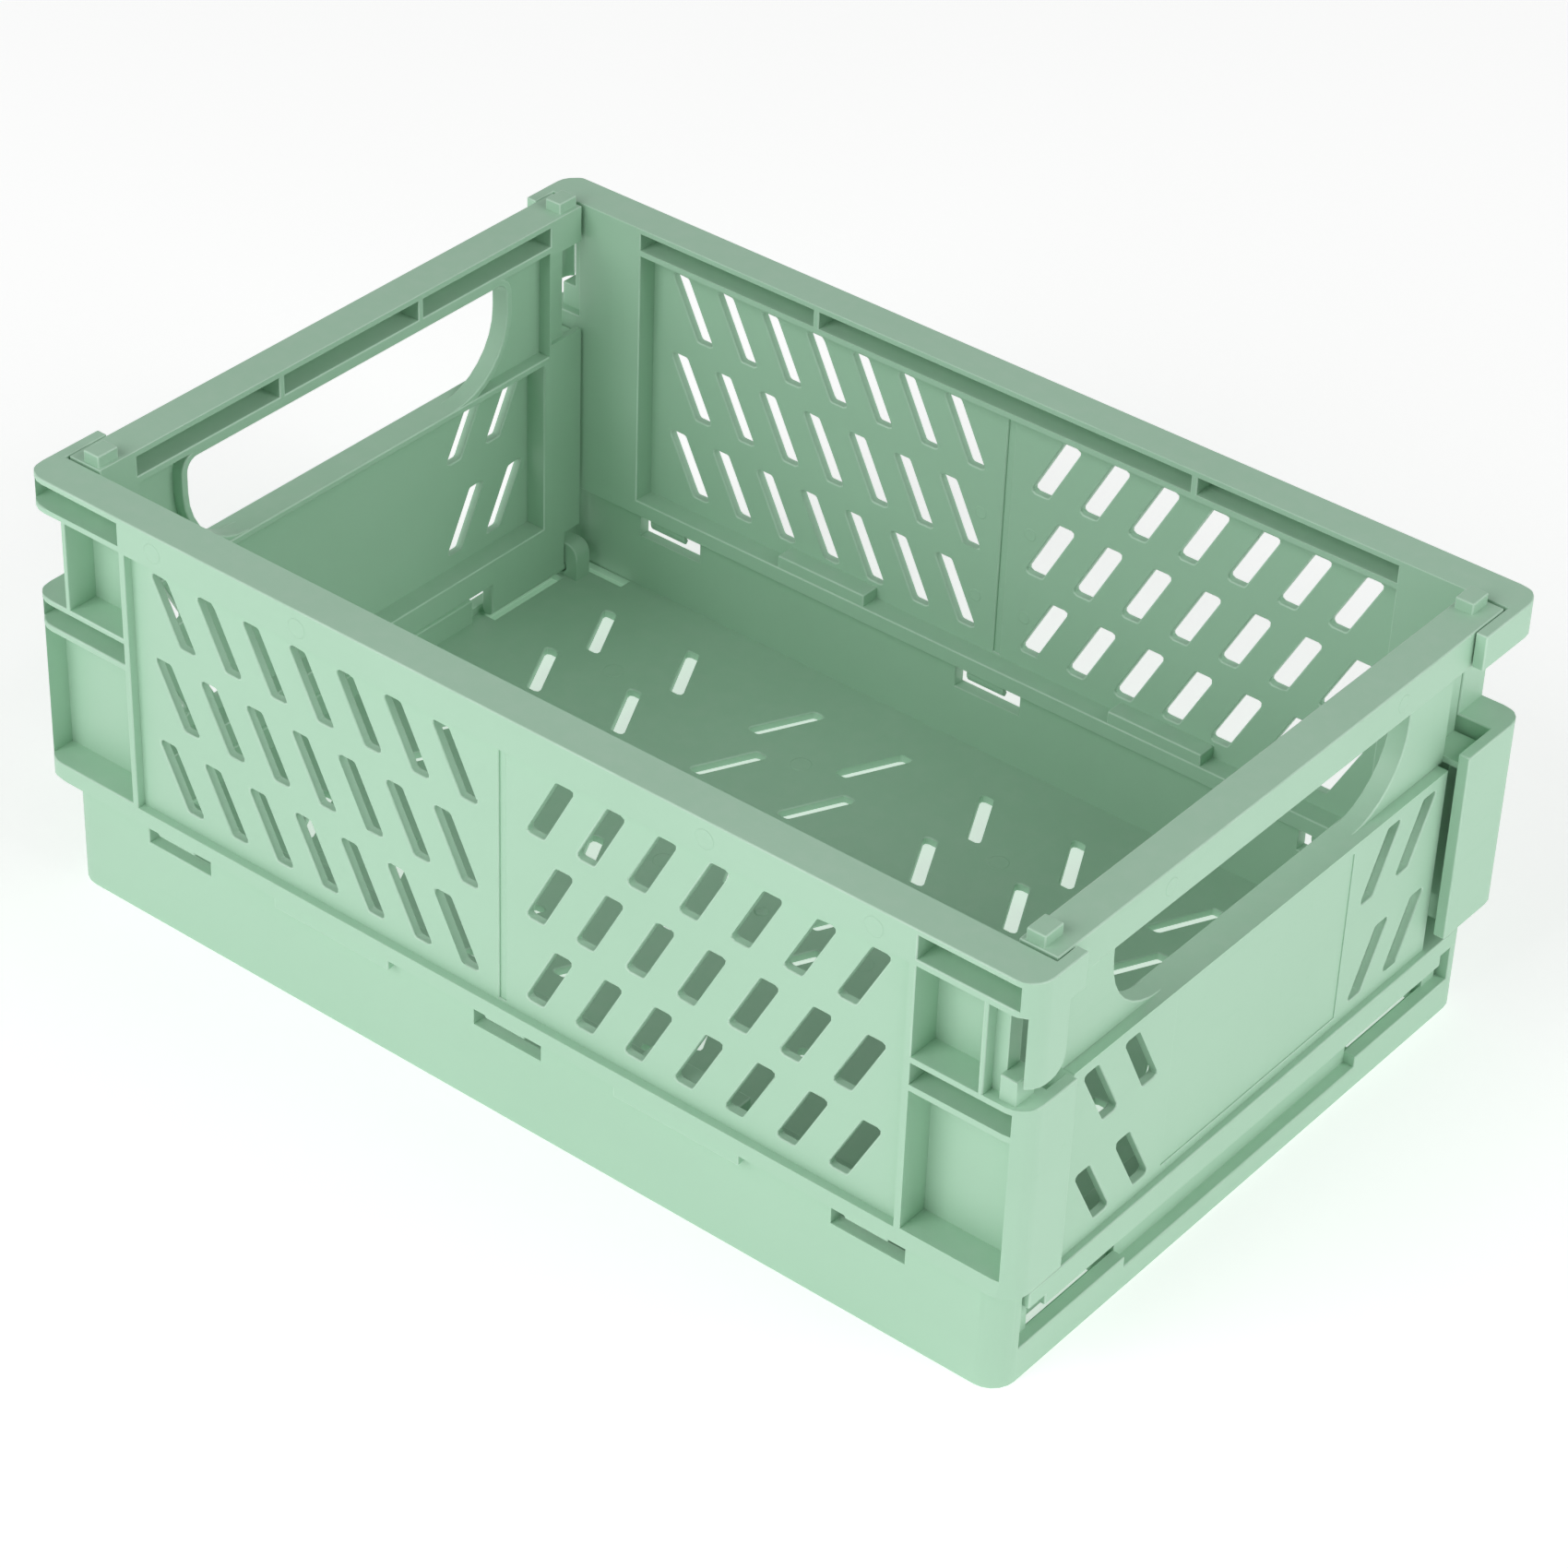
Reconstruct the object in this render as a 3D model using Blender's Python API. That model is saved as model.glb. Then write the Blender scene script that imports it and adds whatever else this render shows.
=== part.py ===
"""Collapsible storage crate: a tray with four folding walls, five plastic mouldings in all.

Frame: metres, X along the crate, Y across it, Z up, origin at the centre of the underside.
Both wall mouldings are modelled in a panel frame: x runs along the wall, y runs inwards from the
crate's outer face and z is the height. The crate is the same after half a turn about Z, so each
wall moulding is used twice.
"""
import math

import bmesh
import bpy
from mathutils import Matrix, Vector

# Whole crate.
CRATE_LENGTH = 0.2500
CRATE_WIDTH = 0.1650
RIM_HEIGHT = 0.1000
OUTER_CORNER_RADIUS = 0.0050
FIT_GAP = 0.0003
OVERCUT = 0.0010
ARC_SEGMENTS = 5
SLOT_ARC_SEGMENTS = 2
ROUND_SEGMENTS = 20

# Linear colours of the three mouldings.
TRAY_COLOUR = (0.42, 0.68, 0.50)
SIDE_COLOUR = (0.44, 0.70, 0.52)
END_COLOUR = (0.43, 0.69, 0.51)

# Tray.
TRAY_INSET_X = 0.0040
TRAY_WALL = 0.0030
TRAY_WALL_DEPTH = 0.0033
TRAY_WALL_TOP = 0.0262
TRAY_TOP_CHAMFER = 0.0007
TRAY_CORNER_RADIUS = 0.0055
FLOOR_BOTTOM = 0.0040
FLOOR_TOP = 0.0060
SKIRT_WALL = 0.0020
END_WALL_TOP = 0.0080
END_LEDGE_TOP = 0.0055
END_LIP_TOP = 0.0120
END_LIP_WALL = 0.0020
END_LIP_SIDE_MARGIN = 0.0331
FLOOR_SLOT_LENGTH = 0.0148
FLOOR_SLOT_WIDTH = 0.0035
FLOOR_SLOT_SHEAR = 0.0074
FLOOR_SLOT_COLUMN = 0.0122
FLOOR_SLOT_ROW = 0.0100
FLOOR_GROUP_LENGTH = 0.0535
FLOOR_GROUP_WIDTH = 0.0462
UNDER_RIB_WALL = 0.0014
UNDER_RIB_BOTTOM = 0.0012
CORNER_HOLE_LENGTH = 0.0174
CORNER_HOLE_WIDTH = 0.0030

# Long side panels.
SIDE_DEPTH = 0.0090
SIDE_GAP_ABOVE_TRAY = 0.0006
RIM_BAND = 0.0080
RIM_PLATE = 0.0013
RIM_SKIN = 0.0025
RIM_POCKET = 0.0041
RIM_LIP = 0.0014
RIM_POCKET_RIB = 0.0015
CORNER_ZONE = 0.0275
PANEL_RIB = 0.0015
WEB_RECESS = 0.0020
WEB_WALL = 0.0020
BOTTOM_BAR = 0.0037
SLOT_ROWS = 3
SLOTS_PER_HALF_ROW = 7
SLOT_WIDTH = 0.0047
SLOT_SHEAR = 0.0076
SLOT_ROW_BRIDGE = 0.0052
SLOT_CORNER_RADIUS = 0.0008
SLOT_FIRST_OFFSET = 0.0119
SLOT_LAST_MARGIN = 0.0112
SLOT_TOP_MARGIN = 0.0027
SLOT_BOTTOM_MARGIN = 0.0040
GROOVE_WIDTH = 0.0018
GROOVE_DEPTH = 0.0005
CORNER_SKIN = 0.0017
CORNER_WALL = 0.0010
LATCH_CORNER_WALL = 0.0035
CORNER_WINDOW_HEIGHT = 0.0206
CORNER_RIB_OFFSET = 0.0110
CORNER_RIB = 0.0010
SHELF_PLATE = 0.0013
SHELF_POCKET = 0.0050
CORNER_FLANGE_TOP = 0.0310
WRAP_WALL = 0.0026
WRAP_REACH_PLAIN = 0.0205
WRAP_REACH_LATCH = 0.0150
TONGUE_WALL = 0.0019
TONGUE_DROP = 0.0158
TONGUE_FRONT_INSET = 0.0030
TONGUE_REACH = 0.0105
TONGUE_ROUND = 0.0040
LATCH_COLUMN_INSET = 0.0070
LATCH_COLUMN_WIDTH = 0.0060
LATCH_COLUMN_DEPTH = 0.0028
LATCH_COLUMN_WALL = 0.0040
LATCH_BLOCK_HEIGHT = 0.0055
LATCH_BLOCK_DEPTH = 0.0012

# Hinge between a side panel and the tray's long wall.
SIDE_AXIS_HEIGHT = 0.0250
HINGE_BAR_RADIUS = 0.0012
HOOK_BORE_RADIUS = 0.0015
HOOK_RADIUS = 0.0027
HOOK_WIDTH = 0.0100
HOOK_MOUTH_DEGREES = 88.0
HOOK_NECK = 0.0024
HINGE_WINDOW_WIDTH = 0.0175
HINGE_WINDOW_BOTTOM = 0.0195
HINGE_WINDOW_MARGIN = 0.0080
STOP_LIP_LENGTH = 0.0310
STOP_LIP_WALL = 0.0022
STOP_LIP_BOTTOM = 0.0235
STOP_LIP_TOP = 0.0290
INNER_BAR_LENGTH = 0.0240
INNER_BAR_HEIGHT = 0.0029

# End panels.
END_SIDE_GAP = 0.0009
END_DEPTH = 0.0086
END_RIM_BAND = 0.0085
END_RIM_SKIN = 0.0021
END_RIM_POCKET = 0.0047
END_RIM_LIP = 0.0015
END_RIM_POCKET_MARGIN = 0.0101
END_RIM_RIB_OFFSET = 0.0210
END_LOWER_RECESS = 0.0015
END_LOWER_WALL = 0.0020
END_UPPER_RECESS = 0.0039
END_UPPER_WALL = 0.0016
END_LEDGE_RIB = 0.0016
END_POST_SKIN = 0.0017
END_LOWER_WEB_MARGIN = 0.0106
END_UPPER_WEB_MARGIN = 0.0089
END_RETURN_WALL = 0.0015
END_BAR_BOTTOM = 0.0155
END_BAR_TOP = 0.0220
END_CORNER_BOTTOM = 0.0180
HANDLE_HEIGHT = 0.0245
HANDLE_SIDE_MARGIN = 0.0241
HANDLE_BOTTOM_RADIUS = 0.0170
HANDLE_TOP_RADIUS = 0.0030
HANDLE_LIP = 0.0016
HANDLE_RIM_GAP = 0.0005
END_SLOT_COLUMNS = (0.0326, 0.0200)
END_SLOT_ROWS = 2
END_SLOT_WIDTH = 0.0049
END_SLOT_SHEAR = 0.0078
END_SLOT_BRIDGE = 0.0090
END_SLOT_TOP_MARGIN = 0.0027
END_SLOT_BOTTOM_MARGIN = 0.0032
LABEL_SIDE_MARGIN = 0.0431
LABEL_EDGE = 0.0020
LABEL_STEP = 0.0003
LATCH_NOTCH_WIDTH = 0.0051
LATCH_REBATE_WIDTH = 0.0099
LATCH_REBATE_DEPTH = 0.0010
NUB_WIDTH = 0.0055
NUB_DEPTH = 0.0042
NUB_HEIGHT = 0.0025
NUB_EDGE = 0.0006

# Hinge between an end panel and the tray's corner blocks.
END_AXIS_ABOVE_FLOOR = 0.0025
END_LEG_OUTER_MARGIN = 0.0052
END_LEG_LENGTH = 0.0244
END_LEG_WALL = 0.0030
END_PIN_LENGTH = 0.0036
END_BORE_CLEARANCE = 0.0003
BLOCK_WALL = 0.0046
BLOCK_TOP = 0.0150
BLOCK_REACH_IN = 0.0050
BLOCK_REACH_OUT = 0.0035
BLOCK_ROUND = 0.0030
LEG_SLOT_GAP = 0.0006

# Sizes that follow from the ones above.
HALF_LENGTH = CRATE_LENGTH / 2
HALF_WIDTH = CRATE_WIDTH / 2
TRAY_HALF_LENGTH = HALF_LENGTH - TRAY_INSET_X
TRAY_HALF_WIDTH = HALF_WIDTH - TRAY_WALL_DEPTH
TRAY_INNER_LENGTH = TRAY_HALF_LENGTH - TRAY_WALL
TRAY_INNER_WIDTH = TRAY_HALF_WIDTH - TRAY_WALL
SIDE_AXIS_DEPTH = TRAY_WALL_DEPTH + TRAY_WALL / 2
SIDE_BOTTOM = TRAY_WALL_TOP + SIDE_GAP_ABOVE_TRAY
SIDE_INNER_FACE = HALF_WIDTH - SIDE_DEPTH
WEB_HALF = HALF_LENGTH - CORNER_ZONE
WEB_BOTTOM = SIDE_BOTTOM + BOTTOM_BAR
WEB_TOP = RIM_HEIGHT - RIM_BAND
WINDOW_OFFSETS = (HINGE_WINDOW_MARGIN - WEB_HALF, 0.0, WEB_HALF - HINGE_WINDOW_MARGIN)
END_HALF_WIDTH = SIDE_INNER_FACE - END_SIDE_GAP
END_OUTER_DEPTH = WRAP_WALL + FIT_GAP
END_INNER_DEPTH = END_OUTER_DEPTH + END_DEPTH
END_AXIS_DEPTH = END_INNER_DEPTH - END_LEG_WALL / 2
END_AXIS_HEIGHT = FLOOR_TOP + END_AXIS_ABOVE_FLOOR
END_PIN_RADIUS = END_LEG_WALL / 2
END_LEG_OUTER = END_HALF_WIDTH - END_LEG_OUTER_MARGIN
END_LEG_INNER = END_LEG_OUTER - END_LEG_LENGTH
HANDLE_TOP = RIM_HEIGHT - END_RIM_BAND - HANDLE_RIM_GAP
HANDLE_BOTTOM = HANDLE_TOP - HANDLE_HEIGHT
HANDLE_HALF = END_HALF_WIDTH - HANDLE_SIDE_MARGIN

AXES = {"x": (1, 2, 0), "y": (0, 2, 1), "z": (0, 1, 2)}


def clear_scene():
    """Remove everything the new file starts with."""
    for thing in list(bpy.data.objects):
        bpy.data.objects.remove(thing, do_unlink=True)


def rounded(corners, segments=ARC_SEGMENTS):
    """Closed outline through (a, b, radius) corners; a radius of 0 leaves a corner sharp."""
    points = []
    for index, (a, b, radius) in enumerate(corners):
        here = Vector((a, b))
        if radius == 0:
            points.append(here)
            continue
        back = (Vector(corners[index - 1][:2]) - here).normalized()
        ahead = (Vector(corners[(index + 1) % len(corners)][:2]) - here).normalized()
        half = back.angle(ahead) / 2
        centre = here + (back + ahead).normalized() * (radius / math.sin(half))
        start = here + back * (radius / math.tan(half)) - centre
        end = here + ahead * (radius / math.tan(half)) - centre
        sweep = math.atan2(start.x * end.y - start.y * end.x, start.dot(end))
        for step in range(segments + 1):
            points.append(centre + Matrix.Rotation(sweep * step / segments, 2) @ start)
    return points


def rectangle(a, b):
    """Sharp rectangle from two (low, high) pairs."""
    return [Vector((a[0], b[0])), Vector((a[1], b[0])), Vector((a[1], b[1])), Vector((a[0], b[1]))]


def circle(a, b, radius, segments=ROUND_SEGMENTS):
    """Regular outline round a centre."""
    turns = [2 * math.pi * step / segments for step in range(segments)]
    return [Vector((a + radius * math.cos(t), b + radius * math.sin(t))) for t in turns]


def slot(a, b, width, height, shear, segments=SLOT_ARC_SEGMENTS):
    """Leaning slot about a centre: its upper edge is shifted by shear against its lower edge."""
    radius = SLOT_CORNER_RADIUS
    corners = []
    for side, end in ((-1, -1), (1, -1), (1, 1), (-1, 1)):
        corners.append((a + side * width / 2 + end * shear / 2, b + end * height / 2, radius))
    return rounded(corners, segments)


def add_prism(shape, outline, axis, span):
    """Extrude an outline along an axis between two levels."""
    first, second, along = AXES[axis]
    corners = []
    for a, b in outline:
        corner = Vector((0.0, 0.0, 0.0))
        corner[first] = a
        corner[second] = b
        corner[along] = span[0]
        corners.append(shape.verts.new(corner))
    cap = shape.faces.new(corners)
    extruded = bmesh.ops.extrude_face_region(shape, geom=[cap], use_keep_orig=True)
    lift = Vector((0.0, 0.0, 0.0))
    lift[along] = span[1] - span[0]
    moved = [item for item in extruded["geom"] if isinstance(item, bmesh.types.BMVert)]
    bmesh.ops.translate(shape, verts=moved, vec=lift)


def add_block(shape, x, y, z):
    """Add a box from three (low, high) pairs."""
    add_prism(shape, rectangle(x, y), "z", z)


def both_ways(low, high):
    """A span and its mirror image about zero."""
    return ((low, high), (-high, -low))


def make_object(name, shape):
    """Turn a bmesh into a named object with its faces pointing out."""
    bmesh.ops.recalc_face_normals(shape, faces=shape.faces)
    mesh = bpy.data.meshes.new(name)
    shape.to_mesh(mesh)
    shape.free()
    thing = bpy.data.objects.new(name, mesh)
    bpy.context.scene.collection.objects.link(thing)
    return thing


def combine(target, shape, operation):
    """Cut a shape from a target, or join it on, with one exact Boolean."""
    tool = make_object("tool", shape)
    modifier = target.modifiers.new("combine", "BOOLEAN")
    modifier.operation = operation
    modifier.solver = "EXACT"
    modifier.object = tool
    old = target.data
    graph = bpy.context.evaluated_depsgraph_get()
    target.data = bpy.data.meshes.new_from_object(target.evaluated_get(graph))
    target.modifiers.clear()
    tool_mesh = tool.data
    bpy.data.objects.remove(tool, do_unlink=True)
    bpy.data.meshes.remove(tool_mesh)
    bpy.data.meshes.remove(old)


def cut(target, shape):
    """Subtract a shape."""
    combine(target, shape, "DIFFERENCE")


def join(target, shape):
    """Add a shape that overlaps the target."""
    combine(target, shape, "UNION")


def plastic(name, colour):
    """Satin injection-moulded plastic for one moulding."""
    material = bpy.data.materials.new(name)
    material.use_nodes = True
    shader = material.node_tree.nodes["Principled BSDF"]
    shader.inputs["Base Color"].default_value = (*colour, 1.0)
    shader.inputs["Roughness"].default_value = 0.45
    shader.inputs["Metallic"].default_value = 0.0
    return material


def place_panel(mesh, name, axis_point, turn, colour):
    """Put a panel-frame mesh on its hinge axis; the mesh already has the axis at its origin."""
    panel = bpy.data.objects.new(name, mesh)
    bpy.context.scene.collection.objects.link(panel)
    panel.location = axis_point
    panel.rotation_euler = (0.0, 0.0, turn)
    panel.data.materials.clear()
    panel.data.materials.append(plastic(name + "_plastic", colour))
    return panel


# ---------------------------------------------------------------- side panel


def side_outline():
    """Plan of a side panel: the bar along the side, wrapped round both corners."""
    end = HALF_LENGTH
    inner = HALF_LENGTH - WRAP_WALL
    corner = OUTER_CORNER_RADIUS
    return rounded([
        (-end, 0.0, corner), (end, 0.0, corner),
        (end, WRAP_REACH_LATCH, 0), (inner, WRAP_REACH_LATCH, 0),
        (inner, SIDE_DEPTH, 0), (-inner, SIDE_DEPTH, 0),
        (-inner, WRAP_REACH_PLAIN, 0), (-end, WRAP_REACH_PLAIN, 0),
    ])


def cut_side_front(panel):
    """Outer recesses: the slotted web, and the ribbed channels at both corners."""
    outside = -OVERCUT
    floor = SIDE_DEPTH - CORNER_SKIN
    window_bottom = WEB_TOP - CORNER_WINDOW_HEIGHT
    shelf_pocket_top = window_bottom - SHELF_PLATE
    shelf_pocket_bottom = shelf_pocket_top - SHELF_POCKET
    lower_top = shelf_pocket_bottom - RIM_LIP
    channel = (WEB_TOP + RIM_LIP, RIM_HEIGHT - RIM_PLATE)
    start = WEB_HALF + PANEL_RIB
    rib = WEB_HALF + PANEL_RIB + CORNER_RIB_OFFSET + RIM_SKIN + RIM_POCKET_RIB
    shape = bmesh.new()
    add_block(shape, (-WEB_HALF, WEB_HALF), (outside, WEB_RECESS), (WEB_BOTTOM, WEB_TOP))
    for side, wall in ((-1, CORNER_WALL), (1, LATCH_CORNER_WALL)):
        end = HALF_LENGTH - wall
        span = tuple(sorted((side * start, side * end)))
        add_block(shape, span, (outside, floor), channel)
        add_block(shape, span, (outside, floor), (shelf_pocket_bottom, shelf_pocket_top))
        add_block(shape, span, (outside, floor), (CORNER_FLANGE_TOP, lower_top))
        near = tuple(sorted((side * start, side * rib)))
        add_block(shape, near, (outside, floor), (window_bottom, WEB_TOP))
        far = tuple(sorted((side * (rib + CORNER_RIB), side * (HALF_LENGTH + OVERCUT))))
        add_block(shape, far, (outside, WRAP_REACH_PLAIN + OVERCUT), (window_bottom, WEB_TOP))
    cut(panel, shape)


def cut_side_back(panel):
    """Inner recesses: behind the web, and the three rim pockets above it."""
    inside = SIDE_DEPTH + OVERCUT
    pocket_top = RIM_HEIGHT - RIM_PLATE
    pocket_bottom = pocket_top - RIM_POCKET
    recess_top = pocket_bottom - RIM_LIP
    rib = WEB_HALF / 2
    half_rib = RIM_POCKET_RIB / 2
    shape = bmesh.new()
    web_back = WEB_RECESS + WEB_WALL
    add_block(shape, (-WEB_HALF, WEB_HALF), (web_back, inside), (WEB_BOTTOM, recess_top))
    inner = rib - half_rib
    outer = rib + half_rib
    for span in ((-WEB_HALF, -outer), (-inner, inner), (outer, WEB_HALF)):
        add_block(shape, span, (RIM_SKIN, inside), (pocket_bottom, pocket_top))
    cut(panel, shape)


def cut_side_slots(panel):
    """Leaning slots, whose tops lean away from the middle, and the groove between the halves."""
    through = (WEB_RECESS - OVERCUT, WEB_RECESS + WEB_WALL + OVERCUT)
    low = WEB_BOTTOM + SLOT_BOTTOM_MARGIN
    high = WEB_TOP - SLOT_TOP_MARGIN
    height = (high - low - SLOT_ROW_BRIDGE * (SLOT_ROWS - 1)) / SLOT_ROWS
    pitch = (WEB_HALF - SLOT_LAST_MARGIN - SLOT_FIRST_OFFSET) / (SLOTS_PER_HALF_ROW - 1)
    shape = bmesh.new()
    for row in range(SLOT_ROWS):
        middle = low + height / 2 + row * (height + SLOT_ROW_BRIDGE)
        for column in range(SLOTS_PER_HALF_ROW):
            for side in (-1, 1):
                centre = side * (SLOT_FIRST_OFFSET + column * pitch)
                outline = slot(centre, middle, SLOT_WIDTH, height, side * SLOT_SHEAR)
                add_prism(shape, outline, "y", through)
    groove = (-GROOVE_WIDTH / 2, GROOVE_WIDTH / 2)
    tall = (WEB_BOTTOM + GROOVE_DEPTH, WEB_TOP - GROOVE_DEPTH)
    back = WEB_RECESS + WEB_WALL
    add_block(shape, groove, (WEB_RECESS - OVERCUT, WEB_RECESS + GROOVE_DEPTH), tall)
    add_block(shape, groove, (back - GROOVE_DEPTH, back + OVERCUT), tall)
    cut(panel, shape)


def hook_outline(axis_a, axis_b):
    """C-shaped hook section about a hinge axis, open downwards, with its neck running up."""
    gap = math.radians(HOOK_MOUTH_DEGREES) / 2
    first = -math.pi / 2 + gap
    sweep = 2 * math.pi - 2 * gap
    turns = [first + sweep * step / ROUND_SEGMENTS for step in range(ROUND_SEGMENTS + 1)]
    axis = Vector((axis_a, axis_b))
    spokes = [Vector((math.cos(turn), math.sin(turn))) for turn in turns]
    outer = [axis + HOOK_RADIUS * spoke for spoke in spokes]
    bore = [axis + HOOK_BORE_RADIUS * spoke for spoke in reversed(spokes)]
    return outer + bore


def add_side_hinge(panel):
    """Hooks round the tray's hinge bars, stop lips outside the tray wall, and inner bars."""
    neck = (SIDE_AXIS_DEPTH - HOOK_NECK / 2, SIDE_AXIS_DEPTH + HOOK_NECK / 2)
    neck_span = (SIDE_AXIS_HEIGHT + (HOOK_BORE_RADIUS + HOOK_RADIUS) / 2, WEB_BOTTOM - OVERCUT)
    hooks = bmesh.new()
    necks = bmesh.new()
    for centre in WINDOW_OFFSETS:
        span = (centre - HOOK_WIDTH / 2, centre + HOOK_WIDTH / 2)
        add_prism(hooks, hook_outline(SIDE_AXIS_DEPTH, SIDE_AXIS_HEIGHT), "x", span)
        narrow = (span[0] + OVERCUT, span[1] - OVERCUT)
        add_block(necks, narrow, neck, neck_span)
    join(panel, hooks)
    join(panel, necks)
    lip_inner = TRAY_WALL_DEPTH - FIT_GAP
    middle = (WEB_HALF - HINGE_WINDOW_MARGIN) / 2
    extras = bmesh.new()
    for side in (-1, 1):
        centre = side * middle
        lip = (centre - STOP_LIP_LENGTH / 2, centre + STOP_LIP_LENGTH / 2)
        add_block(extras, lip, (lip_inner - STOP_LIP_WALL, lip_inner), (STOP_LIP_BOTTOM, STOP_LIP_TOP))
        bar = (centre - INNER_BAR_LENGTH / 2, centre + INNER_BAR_LENGTH / 2)
        bar_depth = (WEB_RECESS + WEB_WALL - OVERCUT, SIDE_DEPTH - FIT_GAP)
        add_block(extras, bar, bar_depth, (WEB_BOTTOM - OVERCUT, WEB_BOTTOM + INNER_BAR_HEIGHT))
    join(panel, extras)


def tongue_plan():
    """Plan of the latch tongue: a thin shell that follows the rounded outer corner."""
    end = HALF_LENGTH
    corner = OUTER_CORNER_RADIUS
    start = end - TONGUE_FRONT_INSET
    inner = end - TONGUE_WALL
    outer_arc = rounded([(end - corner, 0.0, 0), (end, 0.0, corner), (end, corner, 0)], ARC_SEGMENTS)
    outer_arc = [point for point in outer_arc if point.x >= start]
    inner_arc = rounded([(end - corner, TONGUE_WALL, 0), (inner, TONGUE_WALL, corner - TONGUE_WALL),
                         (inner, corner, 0)], ARC_SEGMENTS)
    inner_arc = [point for point in inner_arc if point.x >= start - TONGUE_WALL / 2]
    outline = outer_arc + [Vector((end, TONGUE_REACH)), Vector((inner, TONGUE_REACH))]
    return outline + list(reversed(inner_arc))


def tongue_bite(bottom):
    """What is taken off the tongue's lower free corner, seen along the crate."""
    centre_y = TONGUE_REACH - TONGUE_ROUND
    centre_z = bottom + TONGUE_ROUND
    free = TONGUE_REACH + OVERCUT
    outline = [Vector((free, bottom - OVERCUT)), Vector((free, centre_z))]
    for step in range(ARC_SEGMENTS + 1):
        turn = math.pi / 2 * step / ARC_SEGMENTS
        y = centre_y + TONGUE_ROUND * math.cos(turn)
        z = centre_z - TONGUE_ROUND * math.sin(turn)
        outline.append(Vector((y, z)))
    outline.append(Vector((centre_y, bottom - OVERCUT)))
    return outline


def add_latch(panel):
    """Latch corner: the hanging tongue, the column beside it and the block at its foot."""
    window_bottom = WEB_TOP - CORNER_WINDOW_HEIGHT
    tongue_bottom = WEB_TOP - TONGUE_DROP
    tongue = bmesh.new()
    add_prism(tongue, tongue_plan(), "z", (tongue_bottom, WEB_TOP + OVERCUT))
    piece = make_object("tongue", tongue)
    # The tongue's lower free corner is rounded off.
    span = (HALF_LENGTH - 2 * OUTER_CORNER_RADIUS, HALF_LENGTH + OVERCUT)
    shape = bmesh.new()
    add_prism(shape, tongue_bite(tongue_bottom), "x", span)
    cut(piece, shape)
    shape = bmesh.new()
    shape.from_mesh(piece.data)
    bpy.data.objects.remove(piece, do_unlink=True)
    join(panel, shape)
    column_end = HALF_LENGTH - LATCH_COLUMN_INSET
    column = (column_end - LATCH_COLUMN_WIDTH, column_end)
    block = (column_end - FIT_GAP, HALF_LENGTH - LATCH_CORNER_WALL)
    shape = bmesh.new()
    depth = (LATCH_COLUMN_DEPTH, LATCH_COLUMN_DEPTH + LATCH_COLUMN_WALL)
    add_block(shape, column, depth, (window_bottom - SHELF_PLATE / 2, WEB_TOP + RIM_LIP / 2))
    join(panel, shape)
    shape = bmesh.new()
    low = (window_bottom - SHELF_PLATE / 2, window_bottom + LATCH_BLOCK_HEIGHT)
    add_block(shape, block, (LATCH_BLOCK_DEPTH, depth[1]), low)
    join(panel, shape)


def build_side_mesh():
    """One side panel in the panel frame, moved so that its hinge axis is the origin."""
    shape = bmesh.new()
    add_prism(shape, side_outline(), "z", (SIDE_BOTTOM, RIM_HEIGHT))
    panel = make_object("side", shape)
    cut_side_front(panel)
    cut_side_back(panel)
    cut_side_slots(panel)
    add_side_hinge(panel)
    add_latch(panel)
    panel.data.transform(Matrix.Translation((0.0, -SIDE_AXIS_DEPTH, -SIDE_AXIS_HEIGHT)))
    mesh = panel.data
    bpy.data.objects.remove(panel, do_unlink=True)
    return mesh


# ---------------------------------------------------------------- end panel


def handle_outline(grow):
    """Hand hole seen square on, with wide lower corners; grow widens it all round."""
    half = HANDLE_HALF + grow
    low = HANDLE_BOTTOM - grow
    high = HANDLE_TOP + grow
    wide = HANDLE_BOTTOM_RADIUS + grow
    tight = HANDLE_TOP_RADIUS + grow
    return rounded([(-half, low, wide), (half, low, wide), (half, high, tight), (-half, high, tight)], 8)


def cut_end_front(panel):
    """Outer recesses: lower web, upper web, the deep channels beside the corner posts."""
    outside = END_OUTER_DEPTH - OVERCUT
    rim_bottom = RIM_HEIGHT - END_RIM_BAND
    lower = END_HALF_WIDTH - END_LOWER_WEB_MARGIN
    upper = END_HALF_WIDTH - END_UPPER_WEB_MARGIN
    deep = END_INNER_DEPTH - END_POST_SKIN
    lower_face = END_OUTER_DEPTH + END_LOWER_RECESS
    upper_face = END_OUTER_DEPTH + END_UPPER_RECESS
    shape = bmesh.new()
    add_block(shape, (-lower, lower), (outside, lower_face), (END_BAR_TOP, HANDLE_BOTTOM))
    cut(panel, shape)
    shape = bmesh.new()
    add_block(shape, (-upper, upper), (outside, upper_face), (HANDLE_BOTTOM, rim_bottom))
    cut(panel, shape)
    shape = bmesh.new()
    for span in both_ways(lower, END_HALF_WIDTH + OVERCUT):
        add_block(shape, span, (outside, deep), (END_BAR_TOP, HANDLE_BOTTOM))
    for span in both_ways(upper, END_HALF_WIDTH + OVERCUT):
        add_block(shape, span, (outside, deep), (HANDLE_BOTTOM + END_LEDGE_RIB, rim_bottom))
    cut(panel, shape)


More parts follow.
